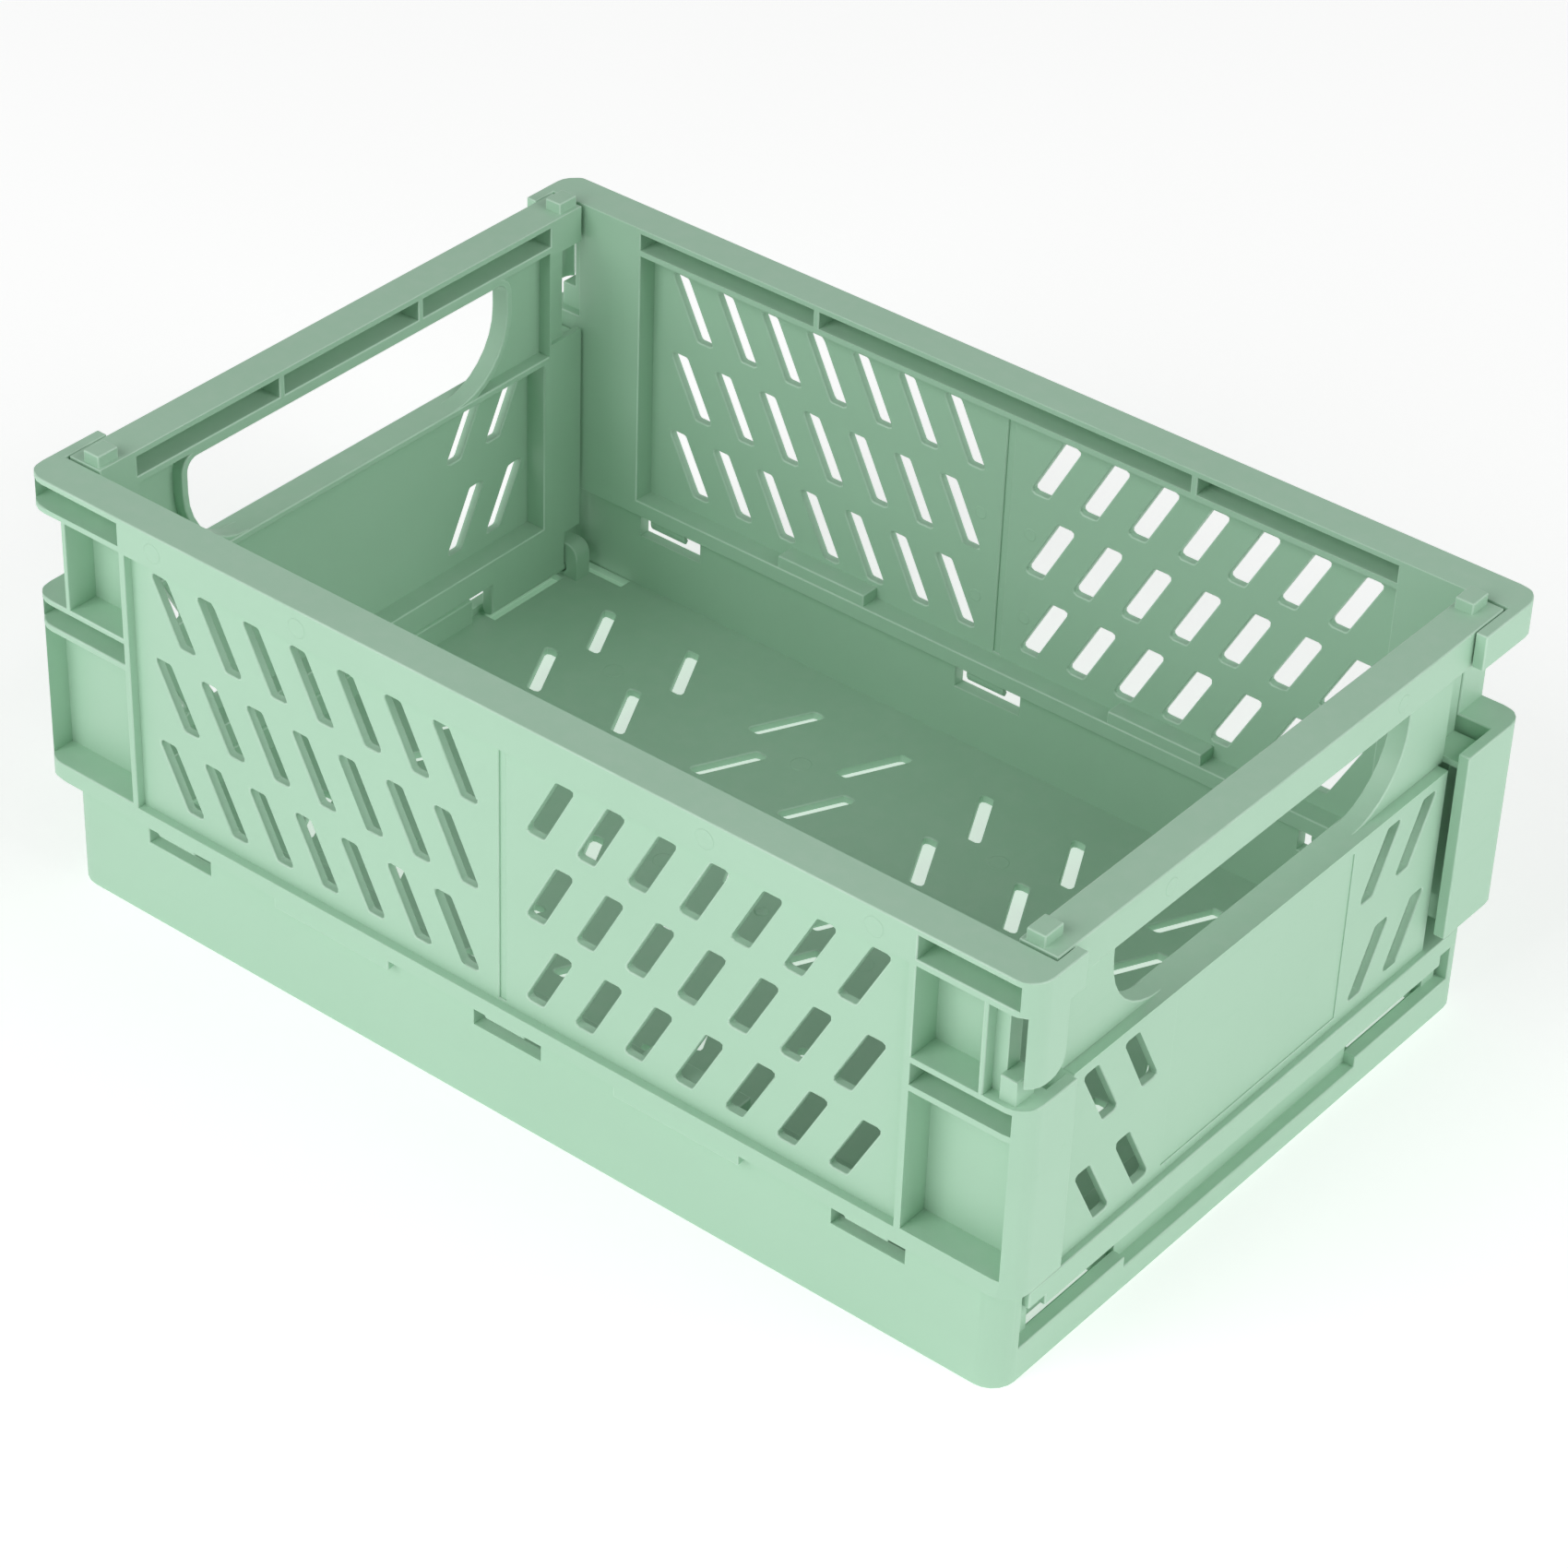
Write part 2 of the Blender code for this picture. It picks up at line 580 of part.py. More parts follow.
def cut_end_back(panel):
    """Inner recesses behind both webs and the three rim pockets."""
    inside = END_INNER_DEPTH + OVERCUT
    lower = END_HALF_WIDTH - END_LOWER_WEB_MARGIN - END_RETURN_WALL
    upper = END_HALF_WIDTH - END_UPPER_WEB_MARGIN - END_RETURN_WALL
    pocket_top = RIM_HEIGHT - RIM_PLATE
    pocket_bottom = pocket_top - END_RIM_POCKET
    pocket_half = END_HALF_WIDTH - END_RIM_POCKET_MARGIN
    half_rib = RIM_POCKET_RIB / 2
    shape = bmesh.new()
    lower_back = END_OUTER_DEPTH + END_LOWER_RECESS + END_LOWER_WALL
    upper_back = END_OUTER_DEPTH + END_UPPER_RECESS + END_UPPER_WALL
    add_block(shape, (-lower, lower), (lower_back, inside), (END_BAR_TOP, HANDLE_BOTTOM - END_LEDGE_RIB))
    add_block(shape, (-upper, upper), (upper_back, inside), (HANDLE_BOTTOM, pocket_bottom - END_RIM_LIP))
    edges = (-pocket_half, -END_RIM_RIB_OFFSET, END_RIM_RIB_OFFSET, pocket_half)
    for left, right in zip(edges, edges[1:]):
        low = left if left == -pocket_half else left + half_rib
        high = right if right == pocket_half else right - half_rib
        add_block(shape, (low, high), (END_OUTER_DEPTH + END_RIM_SKIN, inside), (pocket_bottom, pocket_top))
    cut(panel, shape)


def cut_handle(panel):
    """Hand hole with a lip round it on the inner face."""
    lip = bmesh.new()
    lip_depth = (END_OUTER_DEPTH + END_UPPER_RECESS + END_UPPER_WALL / 2, END_INNER_DEPTH - FIT_GAP)
    add_prism(lip, handle_outline(HANDLE_LIP), "y", lip_depth)
    join(panel, lip)
    hole = bmesh.new()
    add_prism(hole, handle_outline(0.0), "y", (END_OUTER_DEPTH - OVERCUT, END_INNER_DEPTH + OVERCUT))
    cut(panel, hole)


def cut_end_slots(panel):
    """Two by two leaning slots on each side of the label panel, and the label panel's step."""
    face = END_OUTER_DEPTH + END_LOWER_RECESS
    through = (face - OVERCUT, face + END_LOWER_WALL + OVERCUT)
    low = END_BAR_TOP + END_SLOT_BOTTOM_MARGIN
    high = HANDLE_BOTTOM - END_SLOT_TOP_MARGIN
    height = (high - low - END_SLOT_BRIDGE * (END_SLOT_ROWS - 1)) / END_SLOT_ROWS
    shape = bmesh.new()
    for row in range(END_SLOT_ROWS):
        middle = low + height / 2 + row * (height + END_SLOT_BRIDGE)
        for margin in END_SLOT_COLUMNS:
            for side in (-1, 1):
                outline = slot(side * (END_HALF_WIDTH - margin), middle, END_SLOT_WIDTH, height,
                               side * END_SLOT_SHEAR)
                add_prism(shape, outline, "y", through)
    half = END_HALF_WIDTH - LABEL_SIDE_MARGIN
    tall = (END_BAR_TOP + LABEL_EDGE, HANDLE_BOTTOM - LABEL_EDGE)
    add_block(shape, (-half, half), (face - OVERCUT, face + LABEL_STEP), tall)
    cut(panel, shape)


def cut_latch_notch(panel):
    """Notch that the side panel's latch springs into, with a rebate on the inner face."""
    edge = -END_HALF_WIDTH
    tall = (HANDLE_BOTTOM + CORNER_SKIN + CORNER_WALL, RIM_HEIGHT - END_RIM_BAND)
    shape = bmesh.new()
    notch = (edge - OVERCUT, edge + LATCH_NOTCH_WIDTH)
    add_block(shape, notch, (END_OUTER_DEPTH - OVERCUT, END_INNER_DEPTH + OVERCUT), tall)
    cut(panel, shape)
    shape = bmesh.new()
    rebate = (edge - OVERCUT, edge + LATCH_REBATE_WIDTH)
    add_block(shape, rebate, (END_INNER_DEPTH - LATCH_REBATE_DEPTH, END_INNER_DEPTH + OVERCUT), tall)
    cut(panel, shape)


def add_end_hinge(panel):
    """Two legs that end in a round edge on the hinge axis, each with a stub pin at its outer end."""
    legs = bmesh.new()
    pins = bmesh.new()
    radius = END_LEG_WALL / 2
    for low, high in both_ways(END_LEG_INNER, END_LEG_OUTER):
        outline = [Vector((END_AXIS_DEPTH + radius, END_BAR_BOTTOM + OVERCUT))]
        outline.append(Vector((END_AXIS_DEPTH - radius, END_BAR_BOTTOM + OVERCUT)))
        half = ROUND_SEGMENTS // 2
        for step in range(half + 1):
            turn = math.pi + math.pi * step / half
            outline.append(Vector((END_AXIS_DEPTH + radius * math.cos(turn),
                                   END_AXIS_HEIGHT + radius * math.sin(turn))))
        add_prism(legs, outline, "x", (low, high))
        side = 1 if high > 0 else -1
        outer = END_LEG_OUTER + END_PIN_LENGTH
        span = tuple(sorted((side * (END_LEG_OUTER - OVERCUT), side * outer)))
        add_prism(pins, circle(END_AXIS_DEPTH, END_AXIS_HEIGHT, END_PIN_RADIUS), "x", span)
    join(panel, legs)
    join(panel, pins)


def add_nubs(panel):
    """Stacking nubs on the rim, which locate inside the skirt of a crate above."""
    shape = bmesh.new()
    outer = TRAY_INSET_X + SKIRT_WALL + FIT_GAP
    height = (RIM_HEIGHT - OVERCUT, RIM_HEIGHT + NUB_HEIGHT)
    for span in both_ways(END_HALF_WIDTH - NUB_EDGE - NUB_WIDTH, END_HALF_WIDTH - NUB_EDGE):
        add_block(shape, span, (outer, outer + NUB_DEPTH), height)
    join(panel, shape)


def build_end_mesh():
    """One end panel in the panel frame, moved so that its hinge axis is the origin."""
    shape = bmesh.new()
    width = (-END_HALF_WIDTH, END_HALF_WIDTH)
    add_block(shape, width, (END_OUTER_DEPTH, END_INNER_DEPTH), (END_BAR_BOTTOM, RIM_HEIGHT))
    panel = make_object("end", shape)
    depth = (0.0, END_INNER_DEPTH + OVERCUT)
    corners = bmesh.new()
    for span in both_ways(END_LEG_OUTER, END_HALF_WIDTH + OVERCUT):
        add_block(corners, span, depth, (END_BAR_BOTTOM - OVERCUT, END_CORNER_BOTTOM))
    cut(panel, corners)
    cut_end_front(panel)
    cut_end_back(panel)
    cut_handle(panel)
    cut_end_slots(panel)
    cut_latch_notch(panel)
    add_end_hinge(panel)
    add_nubs(panel)
    panel.data.transform(Matrix.Translation((0.0, -END_AXIS_DEPTH, -END_AXIS_HEIGHT)))
    mesh = panel.data
    bpy.data.objects.remove(panel, do_unlink=True)
    return mesh


# ---------------------------------------------------------------- tray


def tray_plan(half_length, half_width, radius):
    """Rounded rectangle about the centre."""
    return rounded([(-half_length, -half_width, radius), (half_length, -half_width, radius),
                    (half_length, half_width, radius), (-half_length, half_width, radius)])


def cut_tray_hollows(tray):
    """Open top above the floor and a shallow recess under it."""
    top = bmesh.new()
    inner = tray_plan(TRAY_INNER_LENGTH, TRAY_INNER_WIDTH, TRAY_CORNER_RADIUS - TRAY_WALL)
    add_prism(top, inner, "z", (FLOOR_TOP, TRAY_WALL_TOP + OVERCUT))
    cut(tray, top)
    under = bmesh.new()
    skirt_length = TRAY_HALF_LENGTH - SKIRT_WALL
    skirt_width = TRAY_HALF_WIDTH - SKIRT_WALL
    plan = tray_plan(skirt_length, skirt_width, TRAY_CORNER_RADIUS - SKIRT_WALL)
    add_prism(under, plan, "z", (-OVERCUT, FLOOR_BOTTOM))
    cut(tray, under)


def cut_tray_ends(tray):
    """Low end walls between the corners, lower still along the middle."""
    shape = bmesh.new()
    opening = SIDE_INNER_FACE - FIT_GAP
    middle = END_HALF_WIDTH - END_LIP_SIDE_MARGIN
    outer = TRAY_HALF_LENGTH + OVERCUT
    for span in both_ways(TRAY_INNER_LENGTH - OVERCUT, outer):
        add_block(shape, span, (-opening, opening), (END_WALL_TOP, TRAY_WALL_TOP + 2 * OVERCUT))
    cut(tray, shape)
    shape = bmesh.new()
    for span in both_ways(TRAY_INNER_LENGTH - OVERCUT, outer):
        add_block(shape, span, (-middle, middle), (END_LEDGE_TOP, END_WALL_TOP + OVERCUT))
    cut(tray, shape)
    lips = bmesh.new()
    for span in both_ways(TRAY_INNER_LENGTH - END_LIP_WALL + FIT_GAP, TRAY_INNER_LENGTH + FIT_GAP):
        add_block(lips, span, (-middle, middle), (FLOOR_BOTTOM + OVERCUT, END_LIP_TOP))
    join(tray, lips)


def add_tray_blocks(tray):
    """Corner blocks that hold the end panels' stub pins."""
    axis = HALF_LENGTH - END_AXIS_DEPTH
    inner = END_LEG_OUTER + FIT_GAP
    blocks = bmesh.new()
    for side in (-1, 1):
        for span in both_ways(inner, inner + BLOCK_WALL):
            low = side * axis - (BLOCK_REACH_IN if side > 0 else BLOCK_REACH_OUT)
            high = side * axis + (BLOCK_REACH_OUT if side > 0 else BLOCK_REACH_IN)
            profile = rounded([
                (low, FLOOR_BOTTOM + OVERCUT, 0), (high, FLOOR_BOTTOM + OVERCUT, 0),
                (high, BLOCK_TOP, BLOCK_ROUND), (low, BLOCK_TOP, BLOCK_ROUND)])
            add_prism(blocks, profile, "y", span)
    join(tray, blocks)
    bores = bmesh.new()
    bore = END_PIN_RADIUS + END_BORE_CLEARANCE
    deep = inner + END_PIN_LENGTH + END_BORE_CLEARANCE
    for side in (-1, 1):
        for span in both_ways(inner - OVERCUT, deep):
            add_prism(bores, circle(side * axis, END_AXIS_HEIGHT, bore), "y", span)
    cut(tray, bores)


def cut_floor(tray):
    """Groups of leaning floor slots, slots under the end panels' legs, and corner holes."""
    through = (FLOOR_BOTTOM - OVERCUT, FLOOR_TOP + OVERCUT)
    columns = max(1, int(2 * TRAY_INNER_LENGTH // FLOOR_GROUP_LENGTH))
    rows = max(1, int(2 * TRAY_INNER_WIDTH // FLOOR_GROUP_WIDTH))
    shape = bmesh.new()
    for column in range(columns):
        for row in range(rows):
            shear = FLOOR_SLOT_SHEAR if (column + row) % 2 else -FLOOR_SLOT_SHEAR
            x = (column - (columns - 1) / 2) * FLOOR_GROUP_LENGTH
            y = (row - (rows - 1) / 2) * FLOOR_GROUP_WIDTH
            for dx in (-FLOOR_SLOT_COLUMN, FLOOR_SLOT_COLUMN):
                for dy in (-FLOOR_SLOT_ROW, FLOOR_SLOT_ROW):
                    outline = slot(x + dx, y + dy, FLOOR_SLOT_WIDTH, FLOOR_SLOT_LENGTH, shear)
                    add_prism(shape, outline, "z", through)
    axis = HALF_LENGTH - END_AXIS_DEPTH
    reach = END_PIN_RADIUS
    hole_outer = TRAY_INNER_WIDTH - FIT_GAP
    for x in both_ways(axis - reach, axis + reach):
        for y in both_ways(END_LEG_INNER + LEG_SLOT_GAP, END_LEG_OUTER - LEG_SLOT_GAP):
            add_block(shape, x, y, through)
    block_end = axis + BLOCK_REACH_OUT
    for x in both_ways(block_end - CORNER_HOLE_LENGTH, block_end - OVERCUT):
        for y in both_ways(hole_outer - CORNER_HOLE_WIDTH, hole_outer):
            add_block(shape, x, y, through)
    cut(tray, shape)


def add_under_ribs(tray):
    """Low ribs under the floor, between the slot groups."""
    columns = max(1, int(2 * TRAY_INNER_LENGTH // FLOOR_GROUP_LENGTH))
    rows = max(1, int(2 * TRAY_INNER_WIDTH // FLOOR_GROUP_WIDTH))
    tall = (UNDER_RIB_BOTTOM, (FLOOR_BOTTOM + FLOOR_TOP) / 2)
    half = UNDER_RIB_WALL / 2
    along = TRAY_HALF_LENGTH - SKIRT_WALL / 2
    across = TRAY_HALF_WIDTH - SKIRT_WALL / 2
    lengthwise = bmesh.new()
    for row in range(1, rows):
        y = (row - rows / 2) * FLOOR_GROUP_WIDTH
        add_block(lengthwise, (-along, along), (y - half, y + half), tall)
    join(tray, lengthwise)
    crosswise = bmesh.new()
    for column in range(1, columns):
        x = (column - columns / 2) * FLOOR_GROUP_LENGTH
        add_block(crosswise, (x - half, x + half), (-across, across), (tall[0], tall[1] - FIT_GAP))
    join(tray, crosswise)


def cut_side_hinges(tray):
    """Windows in the long walls, each bridged by a round hinge bar, and chamfered wall tops."""
    shape = bmesh.new()
    for centre in WINDOW_OFFSETS:
        x = (centre - HINGE_WINDOW_WIDTH / 2, centre + HINGE_WINDOW_WIDTH / 2)
        for y in both_ways(TRAY_INNER_WIDTH - OVERCUT, TRAY_HALF_WIDTH + OVERCUT):
            add_block(shape, x, y, (HINGE_WINDOW_BOTTOM, TRAY_WALL_TOP + OVERCUT))
    cut(tray, shape)
    shape = bmesh.new()
    size = TRAY_TOP_CHAMFER
    for side in (-1, 1):
        for face, outwards in ((TRAY_HALF_WIDTH, 1), (TRAY_INNER_WIDTH, -1)):
            reach = size + OVERCUT
            corner = Vector((face + outwards * OVERCUT, TRAY_WALL_TOP + OVERCUT))
            down = Vector((face + outwards * OVERCUT, TRAY_WALL_TOP - reach))
            back = Vector((face - outwards * reach, TRAY_WALL_TOP + OVERCUT))
            outline = [Vector((side * p.x, p.y)) for p in (corner, down, back)]
            add_prism(shape, outline, "x", (-TRAY_HALF_LENGTH - OVERCUT, TRAY_HALF_LENGTH + OVERCUT))
    cut(tray, shape)
    bars = bmesh.new()
    for centre in WINDOW_OFFSETS:
        half = HINGE_WINDOW_WIDTH / 2 + OVERCUT
        for side in (-1, 1):
            outline = circle(side * (HALF_WIDTH - SIDE_AXIS_DEPTH), SIDE_AXIS_HEIGHT, HINGE_BAR_RADIUS)
            add_prism(bars, outline, "x", (centre - half, centre + half))
    join(tray, bars)


def build_tray():
    """The tray, in the crate's own frame."""
    shape = bmesh.new()
    plan = tray_plan(TRAY_HALF_LENGTH, TRAY_HALF_WIDTH, TRAY_CORNER_RADIUS)
    add_prism(shape, plan, "z", (0.0, TRAY_WALL_TOP))
    tray = make_object("base_tray", shape)
    cut_tray_hollows(tray)
    cut_tray_ends(tray)
    add_tray_blocks(tray)
    cut_floor(tray)
    add_under_ribs(tray)
    cut_side_hinges(tray)
    tray.data.materials.clear()
    tray.data.materials.append(plastic("base_tray_plastic", TRAY_COLOUR))
    return tray


def main():
    """Build the tray, two side panels and two end panels."""
    clear_scene()
    build_tray()
    side = build_side_mesh()
    side_axis = HALF_WIDTH - SIDE_AXIS_DEPTH
    place_panel(side, "front_side", (0.0, -side_axis, SIDE_AXIS_HEIGHT), 0.0, SIDE_COLOUR)
    place_panel(side.copy(), "rear_side", (0.0, side_axis, SIDE_AXIS_HEIGHT), math.pi, SIDE_COLOUR)
    end = build_end_mesh()
    end_axis = HALF_LENGTH - END_AXIS_DEPTH
    quarter = math.pi / 2
    place_panel(end, "right_end", (end_axis, 0.0, END_AXIS_HEIGHT), quarter, END_COLOUR)
    place_panel(end.copy(), "left_end", (-end_axis, 0.0, END_AXIS_HEIGHT), -quarter, END_COLOUR)


main()
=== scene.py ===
"""Looks of a collapsible storage crate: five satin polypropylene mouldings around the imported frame.

Each moulding is a welded copy of its CAD node whose outer edges are rounded as a mould leaves them,
with the small marks of moulding added: ejector witness rings and the gate's stub.
Lengths are in metres, X along the crate, Y across it and Z up.
"""
import logging
import math
from dataclasses import dataclass, field
from enum import Enum

import bmesh
import bpy
import numpy as np
from mathutils import Matrix, Vector


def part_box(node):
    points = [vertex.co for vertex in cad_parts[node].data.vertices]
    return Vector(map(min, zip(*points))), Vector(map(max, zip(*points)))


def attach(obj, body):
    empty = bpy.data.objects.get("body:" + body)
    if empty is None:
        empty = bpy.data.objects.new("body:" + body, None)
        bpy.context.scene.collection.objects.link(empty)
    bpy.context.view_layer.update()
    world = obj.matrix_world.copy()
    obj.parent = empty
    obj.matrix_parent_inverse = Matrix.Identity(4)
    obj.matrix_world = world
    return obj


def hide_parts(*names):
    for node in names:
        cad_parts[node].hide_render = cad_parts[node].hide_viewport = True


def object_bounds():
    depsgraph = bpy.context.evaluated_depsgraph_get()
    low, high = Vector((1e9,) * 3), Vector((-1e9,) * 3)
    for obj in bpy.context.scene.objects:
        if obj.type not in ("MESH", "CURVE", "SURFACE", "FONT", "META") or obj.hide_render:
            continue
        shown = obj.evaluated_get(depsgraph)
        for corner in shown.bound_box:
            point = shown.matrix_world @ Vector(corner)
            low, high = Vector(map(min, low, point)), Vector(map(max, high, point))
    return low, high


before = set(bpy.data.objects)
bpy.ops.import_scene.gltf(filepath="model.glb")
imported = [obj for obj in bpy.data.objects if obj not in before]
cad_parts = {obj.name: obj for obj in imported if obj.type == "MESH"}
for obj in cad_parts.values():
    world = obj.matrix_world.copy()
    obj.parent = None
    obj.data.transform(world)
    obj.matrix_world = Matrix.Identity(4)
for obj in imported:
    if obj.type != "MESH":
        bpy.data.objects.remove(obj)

LOG = logging.getLogger("crate")
CAD_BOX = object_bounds()
MM = 0.001
MERGE_DISTANCE = 1e-7
EDGE_ATTRIBUTE = "round_edge"
MIX_COLOUR_INPUTS = (6, 7)
MIX_COLOUR_OUTPUT = 2
Colour = tuple[float, float, float]
Triple = tuple[float, float, float]


class Wall(Enum):
    """The wall that a panel stands on: the turn about Z that carries the front wall to it."""

    FRONT = 0.0
    REAR = math.pi
    RIGHT = math.pi / 2
    LEFT = -math.pi / 2


# ---------------------------------------------------------------- shader groups


def new_group(name: str, inputs: dict[str, float], outputs: tuple[str, ...]) -> bpy.types.NodeTree:
    """Starts a shader node group whose sockets are all plain numbers.

    Args:
        name: the group's name.
        inputs: each input's name and its default value.
        outputs: the outputs' names.

    Returns:
        The group, with a group input node and a group output node named in and out.
    """
    group = bpy.data.node_groups.new(name, "ShaderNodeTree")
    for socket, value in inputs.items():
        item = group.interface.new_socket(name=socket, in_out="INPUT", socket_type="NodeSocketFloat")
        item.default_value = value
    for socket in outputs:
        group.interface.new_socket(name=socket, in_out="OUTPUT", socket_type="NodeSocketFloat")
    group.nodes.new("NodeGroupInput").name = "in"
    group.nodes.new("NodeGroupOutput").name = "out"
    return group


def maths(tree: bpy.types.NodeTree, operation: str, first: object, second: object) -> bpy.types.NodeSocket:
    """Adds one arithmetic node, whose result is not clamped.

    Args:
        tree: the node tree that the node goes into.
        operation: Blender's name of the operation, such as MULTIPLY.
        first: a socket or a number for the first input.
        second: a socket or a number for the second input.

    Returns:
        The node's output socket.
    """
    node = tree.nodes.new("ShaderNodeMath")
    node.operation = operation
    for slot, value in enumerate((first, second)):
        if isinstance(value, bpy.types.NodeSocket):
            tree.links.new(value, node.inputs[slot])
        else:
            node.inputs[slot].default_value = value
    return node.outputs[0]


def noise(tree: bpy.types.NodeTree, scale: object, detail: float, stretch: Triple = (1, 1, 1)) -> object:
    """Adds a noise texture that reads the object's own coordinates.

    Args:
        tree: the node tree that the texture goes into.
        scale: a socket or a number, in features per metre.
        detail: how many finer layers the noise has.
        stretch: how much the pattern is squeezed along each axis.

    Returns:
        The noise's value socket, around 0.5.
    """
    coordinates = tree.nodes.new("ShaderNodeTexCoord")
    mapping = tree.nodes.new("ShaderNodeMapping")
    mapping.inputs["Scale"].default_value = stretch
    texture = tree.nodes.new("ShaderNodeTexNoise")
    texture.inputs["Detail"].default_value = detail
    tree.links.new(coordinates.outputs["Object"], mapping.inputs["Vector"])
    tree.links.new(mapping.outputs["Vector"], texture.inputs["Vector"])
    if isinstance(scale, bpy.types.NodeSocket):
        tree.links.new(scale, texture.inputs["Scale"])
    else:
        texture.inputs["Scale"].default_value = scale
    return texture.outputs["Fac"]


def ramp(tree: bpy.types.NodeTree, value: object, low: object, high: object) -> bpy.types.NodeSocket:
    """Stretches a value so that low becomes 0 and high becomes 1, held between them.

    Args:
        tree: the node tree that the node goes into.
        value: the socket to stretch.
        low: a socket or a number.
        high: a socket or a number.

    Returns:
        The stretched value's socket.
    """
    node = tree.nodes.new("ShaderNodeMapRange")
    tree.links.new(value, node.inputs["Value"])
    for name, limit in (("From Min", low), ("From Max", high)):
        if isinstance(limit, bpy.types.NodeSocket):
            tree.links.new(limit, node.inputs[name])
        else:
            node.inputs[name].default_value = limit
    return node.outputs["Result"]


def mix_colours(tree: bpy.types.NodeTree, share: object, first: object, second: object) -> object:
    """Mixes two colours.

    Args:
        tree: the material's node tree.
        share: the socket that says how much of the second colour shows.
        first: a colour or a colour socket.
        second: a colour or a colour socket.

    Returns:
        The mixed colour's socket.
    """
    node = tree.nodes.new("ShaderNodeMix")
    node.data_type = "RGBA"
    tree.links.new(share, node.inputs["Factor"])
    for slot, value in zip(MIX_COLOUR_INPUTS, (first, second)):
        if isinstance(value, bpy.types.NodeSocket):
            tree.links.new(value, node.inputs[slot])
        else:
            node.inputs[slot].default_value = (*value, 1.0)
    return node.outputs[MIX_COLOUR_OUTPUT]


def grain_group() -> bpy.types.NodeTree:
    """The spark-eroded grain of the mould's face: fine pits over a slow swell, as a height."""
    group = new_group("mould_grain", {"Scale": 2200.0, "Swell": 0.35}, ("Height",))
    entry = group.nodes["in"]
    swell_fineness = 0.04
    fine = noise(group, entry.outputs["Scale"], detail=2.0)
    swell_scale = maths(group, "MULTIPLY", entry.outputs["Scale"], swell_fineness)
    swell = noise(group, swell_scale, detail=1.0)
    swell_part = maths(group, "MULTIPLY", swell, entry.outputs["Swell"])
    height = maths(group, "ADD", fine, swell_part)
    group.links.new(height, group.nodes["out"].inputs["Height"])
    return group


def flow_group() -> bpy.types.NodeTree:
    """How the colour drifts where the melt flowed: slow clouds with a faint streak along X."""
    group = new_group("melt_flow", {"Cloud Scale": 14.0, "Streak Scale": 60.0}, ("Drift",))
    entry = group.nodes["in"]
    cloud_share, streak_share = 0.7, 0.3
    cloud = noise(group, entry.outputs["Cloud Scale"], detail=3.0)
    streak = noise(group, entry.outputs["Streak Scale"], detail=2.0, stretch=(0.25, 1.0, 1.0))
    cloud_part = maths(group, "MULTIPLY", cloud, cloud_share)
    both = maths(group, "ADD", cloud_part, maths(group, "MULTIPLY", streak, streak_share))
    group.links.new(ramp(group, both, low=0.32, high=0.68), group.nodes["out"].inputs["Drift"])
    return group


def painted_edge_group() -> bpy.types.NodeTree:
    """Where rounded edges are painted paler: the edge attribute, partly broken up by noise, as a painted
    highlight with patchy wear on top.
    """
    group = new_group("painted_edge_highlight_and_wear", {"Amount": 1.0, "Break Up": 90.0}, ("Mask",))
    entry = group.nodes["in"]
    # The even share is a painted highlight laid along every rounded edge; the extra share is patchy wear.
    even_highlight_share, extra_wear = 0.4, 0.6
    attribute = group.nodes.new("ShaderNodeAttribute")
    attribute.attribute_name = EDGE_ATTRIBUTE
    patchy = ramp(group, noise(group, entry.outputs["Break Up"], detail=2.0), low=0.25, high=0.6)
    even = maths(group, "ADD", maths(group, "MULTIPLY", patchy, extra_wear), even_highlight_share)
    highlight_and_wear = maths(group, "MULTIPLY", attribute.outputs["Fac"], even)
    mask = maths(group, "MULTIPLY", highlight_and_wear, entry.outputs["Amount"])
    group.links.new(mask, group.nodes["out"].inputs["Mask"])
    return group


def scuff_group() -> bpy.types.NodeTree:
    """Fine handling scuffs: two crossed sets of long thin noise, kept only at their peaks."""
    group = new_group("handling_scuffs", {"Scale": 70.0, "Amount": 1.0}, ("Mask",))
    entry = group.nodes["in"]
    along = noise(group, entry.outputs["Scale"], detail=3.0, stretch=(0.6, 6.0, 14.0))
    across = noise(group, entry.outputs["Scale"], detail=3.0, stretch=(9.0, 0.7, 4.0))
    along_peaks = ramp(group, along, low=0.62, high=0.74)
    peaks = maths(group, "MAXIMUM", along_peaks, ramp(group, across, low=0.64, high=0.76))
    mask = maths(group, "MULTIPLY", peaks, entry.outputs["Amount"])
    group.links.new(mask, group.nodes["out"].inputs["Mask"])
    return group


def dust_group() -> bpy.types.NodeTree:
    """Settled dust: the share of a face that looks up, thinned by noise."""
    group = new_group("settled_dust", {"Amount": 1.0, "Scale": 260.0}, ("Mask",))
    entry = group.nodes["in"]
    geometry = group.nodes.new("ShaderNodeNewGeometry")
    parts = group.nodes.new("ShaderNodeSeparateXYZ")
    group.links.new(geometry.outputs["Normal"], parts.inputs["Vector"])
    upward = ramp(group, parts.outputs["Z"], low=0.5, high=1.0)
    specks = ramp(group, noise(group, entry.outputs["Scale"], detail=4.0), low=0.42, high=0.7)
    mask = maths(group, "MULTIPLY", maths(group, "MULTIPLY", upward, specks), entry.outputs["Amount"])
    group.links.new(mask, group.nodes["out"].inputs["Mask"])
    return group


